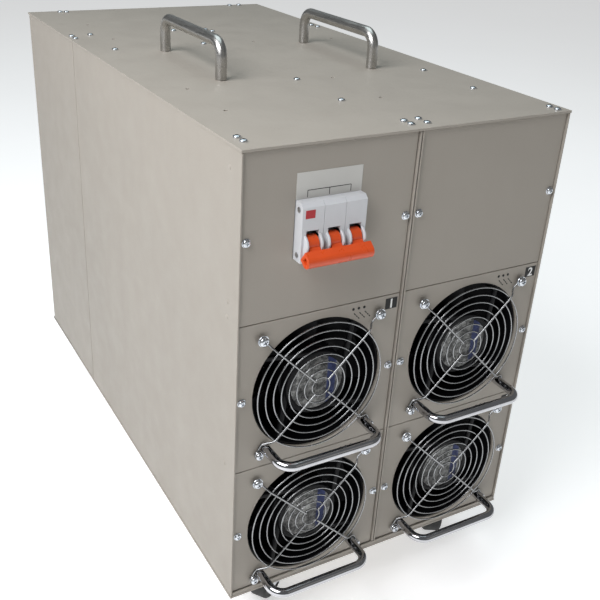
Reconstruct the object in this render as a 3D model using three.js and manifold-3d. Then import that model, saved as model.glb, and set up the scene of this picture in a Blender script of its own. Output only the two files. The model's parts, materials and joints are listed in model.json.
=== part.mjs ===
// Free-standing modular power supply cabinet: a sheet-metal case on four casters, a three-pole
// breaker behind the upper left panel, and four plug-in power modules, each with its own axial fan.
// Millimetres, +Z up, front towards -Y. Origin: middle of the object's box, on the floor.

import * as THREE from 'three';
import { mergeVertices } from 'three/addons/utils/BufferGeometryUtils.js';
import Module from 'manifold-3d';

const wasm = await Module();
wasm.setup();

// ---------------------------------------------------------------- driving dimensions

const CABINET_WIDTH = 296;
const CABINET_DEPTH = 554;
const CABINET_HEIGHT = 400;
const CASTER_HEIGHT = 57.5;
const PLATE = 2; // thickness of the top and base plates
const SHEET = 1.5; // thickness of the side and rear sheets
const SEAM = 0.3; // clearance between neighbouring pieces
const SIDE_INSET = 0.5; // how far the plates overhang the side sheets
const SIDE_SPLIT_Y = 380; // seam between the front and rear side panels
const SIDE_SPLIT_GAP = 1.4;
const DIVIDER_SHEET = 1.4;
const DIVIDER_GAP = 1; // air gap between the two divider sheets
const EDGE_Y = 0.3; // front edges of the side and divider sheets
const FLANGE_WIDTH = 9; // front flanges that the panels screw to
const TOP_FLANGE_WIDTH = 14;
const BASE_LIP_HEIGHT = 5.5;
const ROW_PITCH = 132.9;
const PANEL_THICKNESS = 2;
const PANEL_FACE_Y = 2; // outer face of every front panel
const PANEL_GAP = 0.6; // seam between two panels, one above the other

const FAN_CENTRE_Z = 66.5; // above the bottom of its row
const FAN_SIZE = 118.6;
const FAN_DEPTH = 38;
const FAN_HOLE_SPACING = 104.8;
const FAN_BORE_RADIUS = 57;
const PANEL_OPENING_RADIUS = 58.5;
const HUB_RADIUS = 28.5;
const BLADE_COUNT = 7;

const GUARD_OUTER_RADIUS = 56.5;
const GUARD_RING_COUNT = 8;
const GUARD_RING_PITCH = 6.9;
const GUARD_WIRE = 1.6;
const GUARD_SPOKE = 1.9;
const GUARD_STAND_OFF = 5; // ring centre line to panel face
const EYELET_RADIUS = 3.4;

const MODULE_HANDLE_SPACING = 92;
const MODULE_HANDLE_STAND_OFF = 32;
const MODULE_HANDLE_BAR = 8;
const MODULE_HANDLE_BEND = 12;
const MODULE_HANDLE_DROP = 48; // below the fan centre

const FAN_FLANGE = 4; // thickness of the housing's square flanges
const MOTOR_COVER_PROUD = 1.3; // the motor's cover stands this far out of the housing
const MOTOR_COVER_DEPTH = 9.3;
const STRUT_WIDTH = 5;
const STRUT_THICKNESS = 4;
const STRUT_OFFSET = 25; // the struts run tangent to the motor cover
const STRUT_TURN = 7.5; // degrees
const FAN_SHAFT_RADIUS = 2.8;
const BLADE_THICKNESS = 1.8;
const BLADE_TIP_CLEARANCE = 2.2;

const CHASSIS_WIDTH = 124;
const CHASSIS_HEIGHT = 124;
const CHASSIS_SHEET = 1;
const CHASSIS_DEPTH = 440;
const CHASSIS_BELOW_FAN = 60.7;
const CHASSIS_CLEARANCE = 0.4; // tray to the shelf or runners under it
const RUNNER_WIDTH = 10;
const RUNNER_SPACING = 100;
const SHELF_SHEET = 1.2;
const SHELF_TURN = 8; // height of a shelf's turned-down edges
const SHELF_FRONT_Y = 12;
const SHELF_REAR_Y = 468;

const HEAT_SINK_FINS = 9;
const HEAT_SINK_PITCH = 11;
const HEAT_SINK_FIN = 2.4;
const HEAT_SINK_BASE = 7;
const HEAT_SINK_LOW = -52; // from the fan centre
const HEAT_SINK_HIGH = 34;
const HEAT_SINK_FRONT_Y = 70;
const HEAT_SINK_REAR_Y = 400;

const BAR_SIDES = 8;
const TOP_HANDLE_SPACING = 126;
const TOP_HANDLE_HEIGHT = 31;
const TOP_HANDLE_BAR = 10;
const TOP_HANDLE_BEND = 13;
const TOP_HANDLE_X = 77;
const TOP_HANDLE_Y = 246;

const BREAKER_WIDTH = 54;
const BREAKER_NOSE_HEIGHT = 45;
const BREAKER_NOSE_OUT = 10; // nose in front of the panel face
const BREAKER_BODY_HEIGHT = 81;
const BREAKER_BODY_DEPTH = 50;
const BREAKER_X = -76.5;
const BREAKER_Z = 336;
const POLE_PITCH = 18;
const TOGGLE_LENGTH = 15;
const TOGGLE_DOWN_DEGREES = 36;
const TOGGLE_PIVOT_Z = 327;
const TOGGLE_PIVOT_IN = 3; // pivot behind the nose's front face
const TOGGLE_SHAFT_RADIUS = 1.5;
const TOGGLE_DRUM_RADIUS = 6.9;
const TOGGLE_GRIP_HALF = 5; // half the thickness of the tie bar
const TOGGLE_GRIP_OVERHANG = 0.6;
const SLOT_RIM_RADIUS = 8.6; // round cheeks beside each toggle
const SLOT_RIM_WIDTH = 1.8;
const SLOT_HALF = 5.1;
const SLOT_REACH = 11;
const NOSE_DEPTH = 14;
const NOSE_CHAMFER = 3;

const RAIL_WIDTH = 35;
const RAIL_CROWN = 27;
const RAIL_DEPTH = 7.5;
const RAIL_SHEET = 1;

const WHEEL_RADIUS = 22.5;
const WHEEL_WIDTH = 18;
const CASTER_TRAIL = 18;
const CASTER_X = 102;
const FRONT_CASTER_Y = 33.5;
const REAR_CASTER_Y = CABINET_DEPTH - 45;
const FRONT_LEFT_HEADING = 36; // degrees from +X that the fork trails towards
const FRONT_RIGHT_HEADING = 60;
const CASTER_PLATE_SIZE = 52;
const CASTER_SHEET = 2.5;
const FORK_LEG = 2;
const FORK_GAP = 1; // wheel to leg
const FORK_HALF_LENGTH = 15;
const FORK_BRIDGE_TOP = 49.5;
const SWIVEL_RADIUS = 19;
const AXLE_RADIUS = 3;
const AXLE_CLEARANCE = 0.35;

const REAR_REACH = 26; // how far the terminals and the gland stand out behind
const REAR_FITTINGS_Z = 330; // height of the gland and the terminals
const REAR_SLOT_COUNT = 5;
const REAR_SLOT_PITCH = 18;
const REAR_SLOT_LENGTH = 96;
const REAR_SLOT_HEIGHT = 5;
const GLAND_THREAD_RADIUS = 10;
const GLAND_BORE_RADIUS = 5;
const GLAND_NUT_RADIUS = 15; // over the corners
const TERMINAL_BOARD_WIDTH = 104;
const TERMINAL_BOARD_HEIGHT = 44;
const TERMINAL_BOARD_THICKNESS = 9;
const TERMINAL_SPACING = 60;

// ---------------------------------------------------------------- worked-out dimensions

const halfWidth = CABINET_WIDTH / 2;
const sideOuterX = halfWidth - SIDE_INSET;
const sideInnerX = sideOuterX - SHEET;
const dividerInnerX = DIVIDER_GAP / 2;
const dividerOuterX = dividerInnerX + DIVIDER_SHEET;
const panelInnerX = dividerOuterX + 0.7;
const panelOuterX = sideInnerX - 0.5;
const panelWidth = panelOuterX - panelInnerX;
const columnX = (panelOuterX + panelInnerX) / 2;
const flangeY = PANEL_FACE_Y + PANEL_THICKNESS + SEAM;
const wallBottom = PLATE + SEAM;
const wallTop = CABINET_HEIGHT - PLATE - SEAM;
const rearFaceY = CABINET_DEPTH - 1;
const fanHoleOffset = FAN_HOLE_SPACING / 2;
const rowBottoms = [0, ROW_PITCH, 2 * ROW_PITCH];
const trayRestZ = FAN_CENTRE_Z - CHASSIS_BELOW_FAN - CHASSIS_CLEARANCE; // above the bottom of its row
const shelfTops = [ROW_PITCH + trayRestZ, 2 * ROW_PITCH + SHEET];
const barFlat = Math.cos(Math.PI / BAR_SIDES); // a faceted bar's flats lie this much nearer its axis
const frontReachY = PANEL_FACE_Y - MODULE_HANDLE_STAND_OFF - (MODULE_HANDLE_BAR / 2) * barFlat;
const rearReachY = rearFaceY + REAR_REACH;
const breakerBodyY = NOSE_DEPTH - 0.5; // behind the nose's front face
const leverHalf = SLOT_HALF - 0.6;
const fanFrontY = PANEL_THICKNESS + SEAM; // behind the panel's face
const fanBackY = fanFrontY + FAN_DEPTH;
const motorFaceY = fanFrontY - MOTOR_COVER_PROUD;
const motorBackY = motorFaceY + MOTOR_COVER_DEPTH;
const plateTop = CASTER_HEIGHT - SEAM;
const plateBottom = plateTop - CASTER_SHEET;
const legInner = WHEEL_WIDTH / 2 + FORK_GAP;
const legOuter = legInner + FORK_LEG;

// ---------------------------------------------------------------- materials

function material(color, roughness, metalness) {
  return new THREE.MeshStandardMaterial({ color, roughness, metalness });
}
const paint = () => material(0xb5aca0, 0.62, 0.15);
const zinc = () => material(0xb9bcc0, 0.35, 0.9);
const brightSteel = () => material(0xc9ccd0, 0.22, 1);
const blackPlastic = () => material(0x151517, 0.5, 0);
const aluminium = () => material(0xc2c4c6, 0.4, 0.9);

// ---------------------------------------------------------------- solids

function toSolid(geometry) {
  geometry.deleteAttribute('normal');
  geometry.deleteAttribute('uv');
  const merged = mergeVertices(geometry, 1e-4);
  const vertProperties = new Float32Array(merged.attributes.position.array);
  const triVerts = new Uint32Array(merged.index.array);
  return new wasm.Manifold(new wasm.Mesh({ numProp: 3, vertProperties, triVerts }));
}

function toGeometry(solid) {
  const mesh = solid.getMesh();
  const geometry = new THREE.BufferGeometry();
  geometry.setAttribute('position', new THREE.BufferAttribute(mesh.vertProperties, 3));
  geometry.setIndex(new THREE.BufferAttribute(mesh.triVerts, 1));
  geometry.computeVertexNormals();
  return geometry;
}

function join(...solids) {
  return solids.reduce((all, next) => all.add(next));
}

function cut(solid, ...tools) {
  return tools.reduce((left, tool) => left.subtract(tool), solid);
}

// A block between two corners.
function block(x0, x1, y0, y1, z0, z1) {
  const geometry = new THREE.BoxGeometry(Math.abs(x1 - x0), y1 - y0, z1 - z0);
  geometry.translate((x0 + x1) / 2, (y0 + y1) / 2, (z0 + z1) / 2);
  return toSolid(geometry);
}

// A round bar along Y, from y0 to y1, centred on (x, z).
function barY(radius, y0, y1, x = 0, z = 0, sides = 24) {
  const geometry = new THREE.CylinderGeometry(radius, radius, y1 - y0, sides);
  geometry.translate(x, (y0 + y1) / 2, z);
  return toSolid(geometry);
}

function barZ(radius, z0, z1, x = 0, y = 0, sides = 24) {
  const geometry = new THREE.CylinderGeometry(radius, radius, z1 - z0, sides);
  geometry.rotateX(Math.PI / 2);
  geometry.translate(x, y, (z0 + z1) / 2);
  return toSolid(geometry);
}

function barX(radius, x0, x1, y = 0, z = 0, sides = 24) {
  const geometry = new THREE.CylinderGeometry(radius, radius, x1 - x0, sides);
  geometry.rotateZ(Math.PI / 2);
  geometry.translate((x0 + x1) / 2, y, z);
  return toSolid(geometry);
}

// A profile of [x, z] points, pushed along Y from y0 to y1.
function profileAlongY(points, y0, y1) {
  const shape = new THREE.Shape(points.map(([x, z]) => new THREE.Vector2(x, z)));
  const geometry = new THREE.ExtrudeGeometry(shape, { depth: y1 - y0, bevelEnabled: false });
  geometry.rotateX(Math.PI / 2);
  geometry.translate(0, y1, 0);
  return toSolid(geometry);
}

// A profile of [y, z] points, pushed along X from x0 to x1.
function profileAlongX(points, x0, x1) {
  const shape = new THREE.Shape(points.map(([y, z]) => new THREE.Vector2(y, z)));
  const geometry = new THREE.ExtrudeGeometry(shape, { depth: x1 - x0, bevelEnabled: false });
  geometry.rotateX(Math.PI / 2);
  geometry.rotateZ(Math.PI / 2);
  geometry.translate(x0, 0, 0);
  return toSolid(geometry);
}

// A closed ring or turned body about the Y axis; the profile is [radius, y] points.
function turnedAboutY(points, sides) {
  const profile = points.map(([r, y]) => new THREE.Vector2(r, y));
  return toSolid(new THREE.LatheGeometry(profile, sides));
}

function turnedRing(rIn, rOut, y0, y1, sides) {
  return turnedAboutY([[rIn, y0], [rOut, y0], [rOut, y1], [rIn, y1], [rIn, y0]], sides);
}

// A path whose sections fall exactly on its corner points.
class CornerPath extends THREE.Curve {
  constructor(points) {
    super();
    this.points = points;
  }

  getUtoTmapping(u) {
    return u;
  }

  getPoint(t, target = new THREE.Vector3()) {
    const place = Math.min(Math.max(t, 0), 1) * (this.points.length - 1);
    const index = Math.min(Math.floor(place), this.points.length - 2);
    return target.lerpVectors(this.points[index], this.points[index + 1], place - index);
  }
}

// A round bar that follows the corner points.
function sweptBar(points, bar, sides) {
  const section = new THREE.Shape();
  for (let i = 0; i < sides; i += 1) {
    const angle = ((i + 0.5) / sides) * 2 * Math.PI;
    const x = (bar / 2) * Math.cos(angle);
    const y = (bar / 2) * Math.sin(angle);
    if (i === 0) section.moveTo(x, y);
    else section.lineTo(x, y);
  }
  return toSolid(new THREE.ExtrudeGeometry(section, {
    steps: points.length - 1,
    extrudePath: new CornerPath(points),
    bevelEnabled: false,
  }));
}

// A bent bar in the plane of `along` and `out`: two legs, two round bends and a grip.
function bowHandle(spacing, reach, bar, bend, along, out) {
  const bendSteps = 4;
  const half = spacing / 2;
  const corners = [[-half, 0]];
  for (let i = 0; i <= bendSteps; i += 1) {
    const angle = (Math.PI / 2) * (i / bendSteps);
    corners.push([-half + bend * (1 - Math.cos(angle)), reach - bend * (1 - Math.sin(angle))]);
  }
  const mirrored = corners.map(([a, b]) => [-a, b]).reverse();
  return sweptBar([...corners, ...mirrored].map(([a, b]) => (
    new THREE.Vector3().addScaledVector(along, a).addScaledVector(out, b))), bar, BAR_SIDES);
}

function addPiece(parent, name, solid, look) {
  const mesh = new THREE.Mesh(toGeometry(solid), look);
  mesh.name = name;
  parent.add(mesh);
  return mesh;
}

// ---------------------------------------------------------------- cabinet

const X_AXIS = new THREE.Vector3(1, 0, 0);
const Y_AXIS = new THREE.Vector3(0, 1, 0);
const Z_AXIS = new THREE.Vector3(0, 0, 1);

// Base: a flat plate, a low lip along the front, and a pair of runners under each column.
function basePlate() {
  const plate = block(-halfWidth, halfWidth, 0, CABINET_DEPTH, 0, PLATE);
  const lip = block(-sideInnerX + SEAM, sideInnerX - SEAM, 0.4, 0.4 + SHEET, PLATE - 0.5, BASE_LIP_HEIGHT);
  let solid = join(plate, lip);
  for (const side of [-1, 1]) {
    for (const end of [-1, 1]) {
      const x = side * columnX + (end * RUNNER_SPACING) / 2;
      solid = solid.add(block(x - RUNNER_WIDTH / 2, x + RUNNER_WIDTH / 2, SHELF_FRONT_Y, CHASSIS_DEPTH,
        PLATE - 0.5, trayRestZ));
    }
  }
  return solid;
}

function topCover() {
  const solid = block(-halfWidth, halfWidth, 0, CABINET_DEPTH, CABINET_HEIGHT - PLATE, CABINET_HEIGHT);
  const spareHoles = [[-115.7, 92], [-116.7, 162], [21.7, 87], [21.2, 161], [28.2, 327], [118, 320],
    [-106.5, 460], [-106, 377]];
  return cut(solid, ...spareHoles.map(([x, y]) => (
    barZ(1.8, CABINET_HEIGHT - PLATE - 1, CABINET_HEIGHT + 1, x, y, 10))));
}

// One side sheet, with a flange turned in along its top and bottom, and along the front if asked.
function sidePanel(side, y0, y1, withFrontFlange) {
  const x = (value) => side * value;
  let solid = block(x(sideInnerX), x(sideOuterX), y0, y1, wallBottom, wallTop);
  const flangeEnd = sideInnerX - TOP_FLANGE_WIDTH;
  const from = Math.max(y0, flangeY + 4);
  solid = join(
    solid,
    block(x(flangeEnd), x(sideInnerX + 0.5), from, y1 - 2, wallTop - SHEET, wallTop),
    block(x(sideInnerX - 8), x(sideInnerX + 0.5), from, y1 - 2, wallBottom, wallBottom + SHEET),
  );
  if (withFrontFlange) {
    const low = BASE_LIP_HEIGHT + SEAM;
    solid = solid.add(block(x(sideInnerX - FLANGE_WIDTH), x(sideInnerX + 0.5), flangeY, flangeY + SHEET,
      low, wallTop));
  }
  return solid;
}

// One of the two centre sheets that part the columns, flanged towards its own column.
function divider(side) {
  const x = (value) => side * value;
  const low = BASE_LIP_HEIGHT + SEAM;
  const sheet = block(x(dividerInnerX), x(dividerOuterX), EDGE_Y + 2, SHELF_REAR_Y + 2, wallBottom, wallTop);
  const nose = block(x(dividerInnerX), x(dividerOuterX), EDGE_Y, EDGE_Y + 3, low, wallTop);
  const front = block(x(dividerOuterX - 0.5), x(dividerOuterX + FLANGE_WIDTH), flangeY, flangeY + SHEET,
    low, wallTop);
  const top = block(x(dividerOuterX - 0.5), x(dividerOuterX + TOP_FLANGE_WIDTH), flangeY + 4, SHELF_REAR_Y,
    wallTop - SHEET, wallTop);
  return join(sheet, nose, front, top);
}

// A shelf across one column, with its long edges turned down.
function shelf(side, topZ) {
  const left = side * columnX - (panelWidth / 2 + 0.2);
  const right = side * columnX + (panelWidth / 2 + 0.2);
  const low = topZ - SHELF_TURN;
  const under = topZ - SHELF_SHEET;
  return profileAlongY([
    [left, low], [left, topZ], [right, topZ], [right, low],
    [right - SHELF_SHEET, low], [right - SHELF_SHEET, under],
    [left + SHELF_SHEET, under], [left + SHELF_SHEET, low],
  ], SHELF_FRONT_Y, SHELF_REAR_Y);
}

// Rear sheet, with a block of slots behind each module, and a hole for the cable gland.
function rearPanel() {
  const half = sideInnerX - SEAM;
  let solid = block(-half, half, rearFaceY - SHEET, rearFaceY, wallBottom, wallTop);
  const halfLength = REAR_SLOT_LENGTH / 2;
  const halfHeight = REAR_SLOT_HEIGHT / 2;
  for (const side of [-1, 1]) {
    for (const row of [0, 1]) {
      for (let i = 0; i < REAR_SLOT_COUNT; i += 1) {
        const x = side * columnX;
        const z = rowBottoms[row] + FAN_CENTRE_Z + (i - (REAR_SLOT_COUNT - 1) / 2) * REAR_SLOT_PITCH;
        solid = solid.subtract(block(x - halfLength, x + halfLength, rearFaceY - 5, rearFaceY + 5,
          z - halfHeight, z + halfHeight));
      }
    }
  }
  return solid.subtract(barY(GLAND_THREAD_RADIUS + SEAM, rearFaceY - 5, rearFaceY + 5,
    -columnX, REAR_FITTINGS_Z, 20));
}

// Cable gland: thread through the rear sheet, locking nut, hexagon, and a dome with a cable bore.
function cableGland() {
  const bore = GLAND_BORE_RADIUS;
  const nut = turnedRing(bore, GLAND_NUT_RADIUS, -9, -4 - SEAM, 6);
  const thread = turnedRing(bore, GLAND_THREAD_RADIUS, -12, 4, 12);
  const hexagon = turnedRing(bore, GLAND_NUT_RADIUS, SEAM + 0.1, 7, 6);
  const dome = turnedAboutY([
    [bore, 6], [13, 6], [13, 17], [8, REAR_REACH], [bore, REAR_REACH], [bore, 6],
  ], 12);
  return join(nut, thread, hexagon, dome);
}

// Output terminals: an insulating board with two threaded studs and their nuts.
function outputTerminals() {
  const face = TERMINAL_BOARD_THICKNESS;
  let solid = block(-TERMINAL_BOARD_WIDTH / 2, TERMINAL_BOARD_WIDTH / 2, SEAM, face,
    -TERMINAL_BOARD_HEIGHT / 2, TERMINAL_BOARD_HEIGHT / 2);
  for (const x of [-TERMINAL_SPACING / 2, TERMINAL_SPACING / 2]) {
    const washer = barY(12, face - 1, face + 2, x, 0, 20);
    const nut = barY(9, face + 1, face + 8, x, 0, 6);
    const stud = barY(5, face + 7, REAR_REACH, x, 0, 12);
    solid = join(solid, washer, nut, stud);
  }
  return solid;
}

// ---------------------------------------------------------------- front panels and breaker

function panelBlank(bottom, top) {
  return block(-panelWidth / 2, panelWidth / 2, 0, PANEL_THICKNESS, bottom, top);
}

function breakerPanel(bottom, top) {
  const x = BREAKER_X + columnX;
  const halfW = BREAKER_WIDTH / 2 + SEAM;
  const halfH = BREAKER_NOSE_HEIGHT / 2 + SEAM;
  const opening = block(x - halfW, x + halfW, -5, 5, BREAKER_Z - halfH, BREAKER_Z + halfH);
  return panelBlank(bottom, top).subtract(opening);
}

// Breaker, with its front face at y = 0: nose, wider body behind, and three toggle slots.
function breakerBody() {
  const halfW = BREAKER_WIDTH / 2;
  const noseZ = BREAKER_NOSE_HEIGHT / 2;
  const nose = profileAlongX([
    [0, -noseZ], [NOSE_DEPTH, -noseZ], [NOSE_DEPTH, noseZ], [NOSE_CHAMFER, noseZ], [0, noseZ - NOSE_CHAMFER],
  ], -halfW, halfW);
  const body = block(-halfW, halfW, breakerBodyY, breakerBodyY + BREAKER_BODY_DEPTH,
    -BREAKER_BODY_HEIGHT / 2, BREAKER_BODY_HEIGHT / 2);
  const pivotY = TOGGLE_PIVOT_IN;
  const pivotZ = TOGGLE_PIVOT_Z - BREAKER_Z;
  let solid = nose.add(body);
  for (const pole of [-1, 0, 1]) {
    const x = pole * POLE_PITCH;
    for (const rim of [-SLOT_HALF - SLOT_RIM_WIDTH, SLOT_HALF]) {
      solid = solid.add(barX(SLOT_RIM_RADIUS, x + rim, x + rim + SLOT_RIM_WIDTH, pivotY, pivotZ, 16));
    }
    solid = solid.subtract(block(x - SLOT_HALF, x + SLOT_HALF, -12, pivotY + SLOT_RIM_RADIUS + 0.9,
      pivotZ - SLOT_REACH, pivotZ + SLOT_REACH));
  }
  const channel = block(-halfW + 4, halfW - 4, pivotY - 2, pivotY + 2, pivotZ - 2, pivotZ + 2);
  return solid.subtract(channel);
}

// Three toggles on one shaft, tied together by a bar across their ends.
function breakerToggle() {
  const angle = THREE.MathUtils.degToRad(-TOGGLE_DOWN_DEGREES);
  const out = new THREE.Vector2(-Math.cos(angle), Math.sin(angle));
  const side = new THREE.Vector2(-out.y, out.x);
  const at = (reach, across) => {
    const point = out.clone().multiplyScalar(reach).addScaledVector(side, across);
    return [point.x, point.y];
  };
  let solid = barX(TOGGLE_SHAFT_RADIUS, -BREAKER_WIDTH / 2 + 5, BREAKER_WIDTH / 2 - 5, 0, 0, 8);
  for (const pole of [-1, 0, 1]) {
    const x = pole * POLE_PITCH;
    const stem = profileAlongX([at(0, 3.6), at(0, -3.6), at(TOGGLE_LENGTH, -3), at(TOGGLE_LENGTH, 3)],
      x - leverHalf, x + leverHalf);
    solid = join(solid, barX(TOGGLE_DRUM_RADIUS, x - leverHalf, x + leverHalf, 0, 0, 14), stem);
  }
  const barHalf = BREAKER_WIDTH / 2 + TOGGLE_GRIP_OVERHANG;
  const half = TOGGLE_GRIP_HALF;
  const grip = profileAlongX([
    at(SLOT_RIM_RADIUS + 0.5, half), at(SLOT_RIM_RADIUS + 0.5, -half), at(TOGGLE_LENGTH, -half),
    at(TOGGLE_LENGTH + 3.4, -2.8), at(TOGGLE_LENGTH + 4.4, 0), at(TOGGLE_LENGTH + 3.4, 2.8),
    at(TOGGLE_LENGTH, half),
  ], -barHalf, barHalf);
  return solid.add(grip);
}

// Top-hat rail across the left column, behind the breaker.
function dinRail() {
  const brim = RAIL_WIDTH / 2;
  const outer = RAIL_CROWN / 2;
  const inner = outer - RAIL_SHEET;
  const crown = RAIL_DEPTH - RAIL_SHEET;
  return profileAlongX([
    [0, -brim], [0, -inner], [crown, -inner], [crown, inner], [0, inner], [0, brim],
    [RAIL_SHEET, brim], [RAIL_SHEET, outer], [RAIL_DEPTH, outer],
    [RAIL_DEPTH, -outer], [RAIL_SHEET, -outer], [RAIL_SHEET, -brim],
  ].reverse(), -panelWidth / 2, panelWidth / 2);
}

// ---------------------------------------------------------------- power module
// Module frame: x = 0 and z = 0 at the fan centre, y = 0 at the front panel's outer face.

function modulePanel(bottom, top) {
  const panel = panelBlank(bottom, top);
  return panel.subtract(barY(PANEL_OPENING_RADIUS, -5, 5, 0, 0, 32));
}

// Open-topped tray behind the panel.
function moduleChassis() {
  const half = CHASSIS_WIDTH / 2;
  const low = -CHASSIS_BELOW_FAN;
  const high = low + CHASSIS_HEIGHT;
  const y0 = PANEL_THICKNESS + SEAM;
  return profileAlongY([
    [-half, low], [half, low], [half, high], [half - CHASSIS_SHEET, high],
    [half - CHASSIS_SHEET, low + CHASSIS_SHEET], [-half + CHASSIS_SHEET, low + CHASSIS_SHEET],
    [-half + CHASSIS_SHEET, high], [-half, high],
  ], y0, y0 + CHASSIS_DEPTH);
}

// Finned heat sink along the tray, behind the fan.
function heatSink() {
  const base = HEAT_SINK_LOW + HEAT_SINK_BASE;
  const halfFin = HEAT_SINK_FIN / 2;
  const half = ((HEAT_SINK_FINS - 1) * HEAT_SINK_PITCH) / 2 + halfFin;
  const points = [[half, HEAT_SINK_LOW], [-half, HEAT_SINK_LOW]];
  for (let i = 0; i < HEAT_SINK_FINS; i += 1) {
    const x = (i - (HEAT_SINK_FINS - 1) / 2) * HEAT_SINK_PITCH;
    points.push([x - halfFin, HEAT_SINK_HIGH], [x + halfFin, HEAT_SINK_HIGH]);
    if (i < HEAT_SINK_FINS - 1) points.push([x + halfFin, base], [x + HEAT_SINK_PITCH - halfFin, base]);
  }
  return profileAlongY(points.reverse(), HEAT_SINK_FRONT_Y, HEAT_SINK_REAR_Y);
}

// Fan housing: two square flanges, a round duct between them, and a motor cover on four struts in front.
function fanFrame() {
  const half = FAN_SIZE / 2;
  const shell = join(
    block(-half, half, fanFrontY, fanFrontY + FAN_FLANGE, -half, half),
    barY(FAN_BORE_RADIUS + 2, fanFrontY + 1, fanBackY - 1, 0, 0, 20),
    block(-half, half, fanBackY - FAN_FLANGE, fanBackY, -half, half),
  );
  const duct = shell.subtract(barY(FAN_BORE_RADIUS, fanFrontY - 5, fanBackY + 5, 0, 0, 20));
  const strutY = fanFrontY + 0.7;
  const strut = block(STRUT_OFFSET - STRUT_WIDTH / 2, STRUT_OFFSET + STRUT_WIDTH / 2,
    strutY, strutY + STRUT_THICKNESS, 4, FAN_BORE_RADIUS - 5.5);
  const struts = [0, 90, 180, 270].map((degrees) => strut.rotate([0, degrees + STRUT_TURN, 0]));
  const cover = barY(HUB_RADIUS, motorFaceY, motorBackY, 0, 0, 20);
  const bearing = barY(FAN_SHAFT_RADIUS + 0.4, motorFaceY + 3, motorBackY + 5, 0, 0, 12);
  return join(duct, ...struts, cover).subtract(bearing);
}

// One fan blade: a twisted slab from inside the hub to just short of the duct.
function fanBlade(turn) {
  const inner = { r: HUB_RADIUS - 2, sweep: 0.42 };
  const outer = { r: FAN_BORE_RADIUS - BLADE_TIP_CLEARANCE, sweep: 0.36 };
  const lead = motorBackY + 3;
  const trail = fanBackY - 5;
  const corners = [];
  for (const { r, sweep } of [inner, outer]) {
    for (const [y, angle] of [[lead, -sweep], [trail, sweep]]) {
      for (const back of [0, BLADE_THICKNESS]) {
        const a = turn + angle;
        corners.push(new THREE.Vector3(r * Math.cos(a), y + back, r * Math.sin(a)));
      }
    }
  }
  const quads = [[0, 1, 3, 2], [4, 6, 7, 5], [0, 2, 6, 4], [1, 5, 7, 3], [0, 4, 5, 1], [2, 3, 7, 6]];
  const geometry = new THREE.BufferGeometry().setFromPoints(corners);
  geometry.setIndex(quads.flatMap(([a, b, c, d]) => [a, c, b, a, d, c]));
  return toSolid(geometry);
}

function fanRotor() {
  let solid = join(
    barY(HUB_RADIUS, motorBackY + 1, fanBackY - 2, 0, 0, 16),
    barY(FAN_SHAFT_RADIUS, motorFaceY + 4, motorBackY + 2, 0, 0, 10),
  );
  for (let i = 0; i < BLADE_COUNT; i += 1) {
    solid = solid.add(fanBlade((i / BLADE_COUNT) * 2 * Math.PI));
  }
  return solid;
}

// One guard spoke: along the rings, then back to its eyelet. The lower two step around the handle feet.
function guardSpoke(x, z, ringLevel, eyeletLevel) {
  const turn = new THREE.Vector2(x, z).normalize();
  const at = (radius, y) => new THREE.Vector3(turn.x * radius, y, turn.y * radius);
  const innermost = GUARD_OUTER_RADIUS - (GUARD_RING_COUNT - 1) * GUARD_RING_PITCH;
  const path = [at(innermost - 1.5, ringLevel)];
  if (z > 0) {
    path.push(at(59.5, ringLevel), at(64.5, eyeletLevel), at(Math.hypot(x, z) - 2.8, eyeletLevel));
  } else {
    path.push(at(57.5, ringLevel));
    path.push(new THREE.Vector3(x - Math.sign(x) * 2.2, eyeletLevel, z + 8.8));
    path.push(new THREE.Vector3(x + Math.sign(x) * 0.6, eyeletLevel, z + 2.9));
  }
  return sweptBar(path, GUARD_SPOKE, 4);
}

// Finger guard: concentric wire rings, with four spokes that step back to eyelets on the panel.
function fanGuard() {
  const wire = GUARD_WIRE / 2;
  const ringY = -GUARD_STAND_OFF;
  const eyeletThick = 1.7;
  const eyeletBack = -0.5;
  const eyeletFront = eyeletBack - eyeletThick;
  const parts = [];
  for (let i = 0; i < GUARD_RING_COUNT; i += 1) {
    const r = GUARD_OUTER_RADIUS - i * GUARD_RING_PITCH;
    parts.push(turnedAboutY([
      [r - wire, ringY + wire], [r, ringY - wire], [r + wire, ringY + wire], [r - wire, ringY + wire],
    ], 14));
  }
  for (const x of [-fanHoleOffset, fanHoleOffset]) {
    for (const z of [-fanHoleOffset, fanHoleOffset]) {
      parts.push(guardSpoke(x, z, ringY - 1.05, (eyeletFront + eyeletBack) / 2));
      parts.push(turnedRing(2.2, EYELET_RADIUS, eyeletFront, eyeletBack, 6).translate([x, 0, z]));
    }
  }
  return join(...parts);
}

function powerModule(number, column, row) {
  const group = new THREE.Group();
  const fanZ = rowBottoms[row] + FAN_CENTRE_Z;
  group.position.set(column * columnX, PANEL_FACE_Y, fanZ);
  const bottom = Math.max(rowBottoms[row] + PANEL_GAP / 2, BASE_LIP_HEIGHT + SEAM) - fanZ;
  const top = rowBottoms[row] + ROW_PITCH - PANEL_GAP / 2 - fanZ;
  const name = (piece) => `module_${number}_${piece}`;
  addPiece(group, name('front_panel'), modulePanel(bottom, top), paint());
  addPiece(group, name('chassis'), moduleChassis(), aluminium());
  addPiece(group, name('heat_sink'), heatSink(), aluminium());
  addPiece(group, name('fan_frame'), fanFrame(), blackPlastic());
  addPiece(group, name('fan_rotor'), fanRotor(), blackPlastic());
  addPiece(group, name('fan_guard'), fanGuard(), brightSteel());
  const bow = bowHandle(MODULE_HANDLE_SPACING, MODULE_HANDLE_STAND_OFF - SEAM, MODULE_HANDLE_BAR,
    MODULE_HANDLE_BEND, X_AXIS, Y_AXIS.clone().negate());
  addPiece(group, name('handle'), bow, brightSteel()).position.set(0, -SEAM, -MODULE_HANDLE_DROP);
  return group;
}

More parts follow.
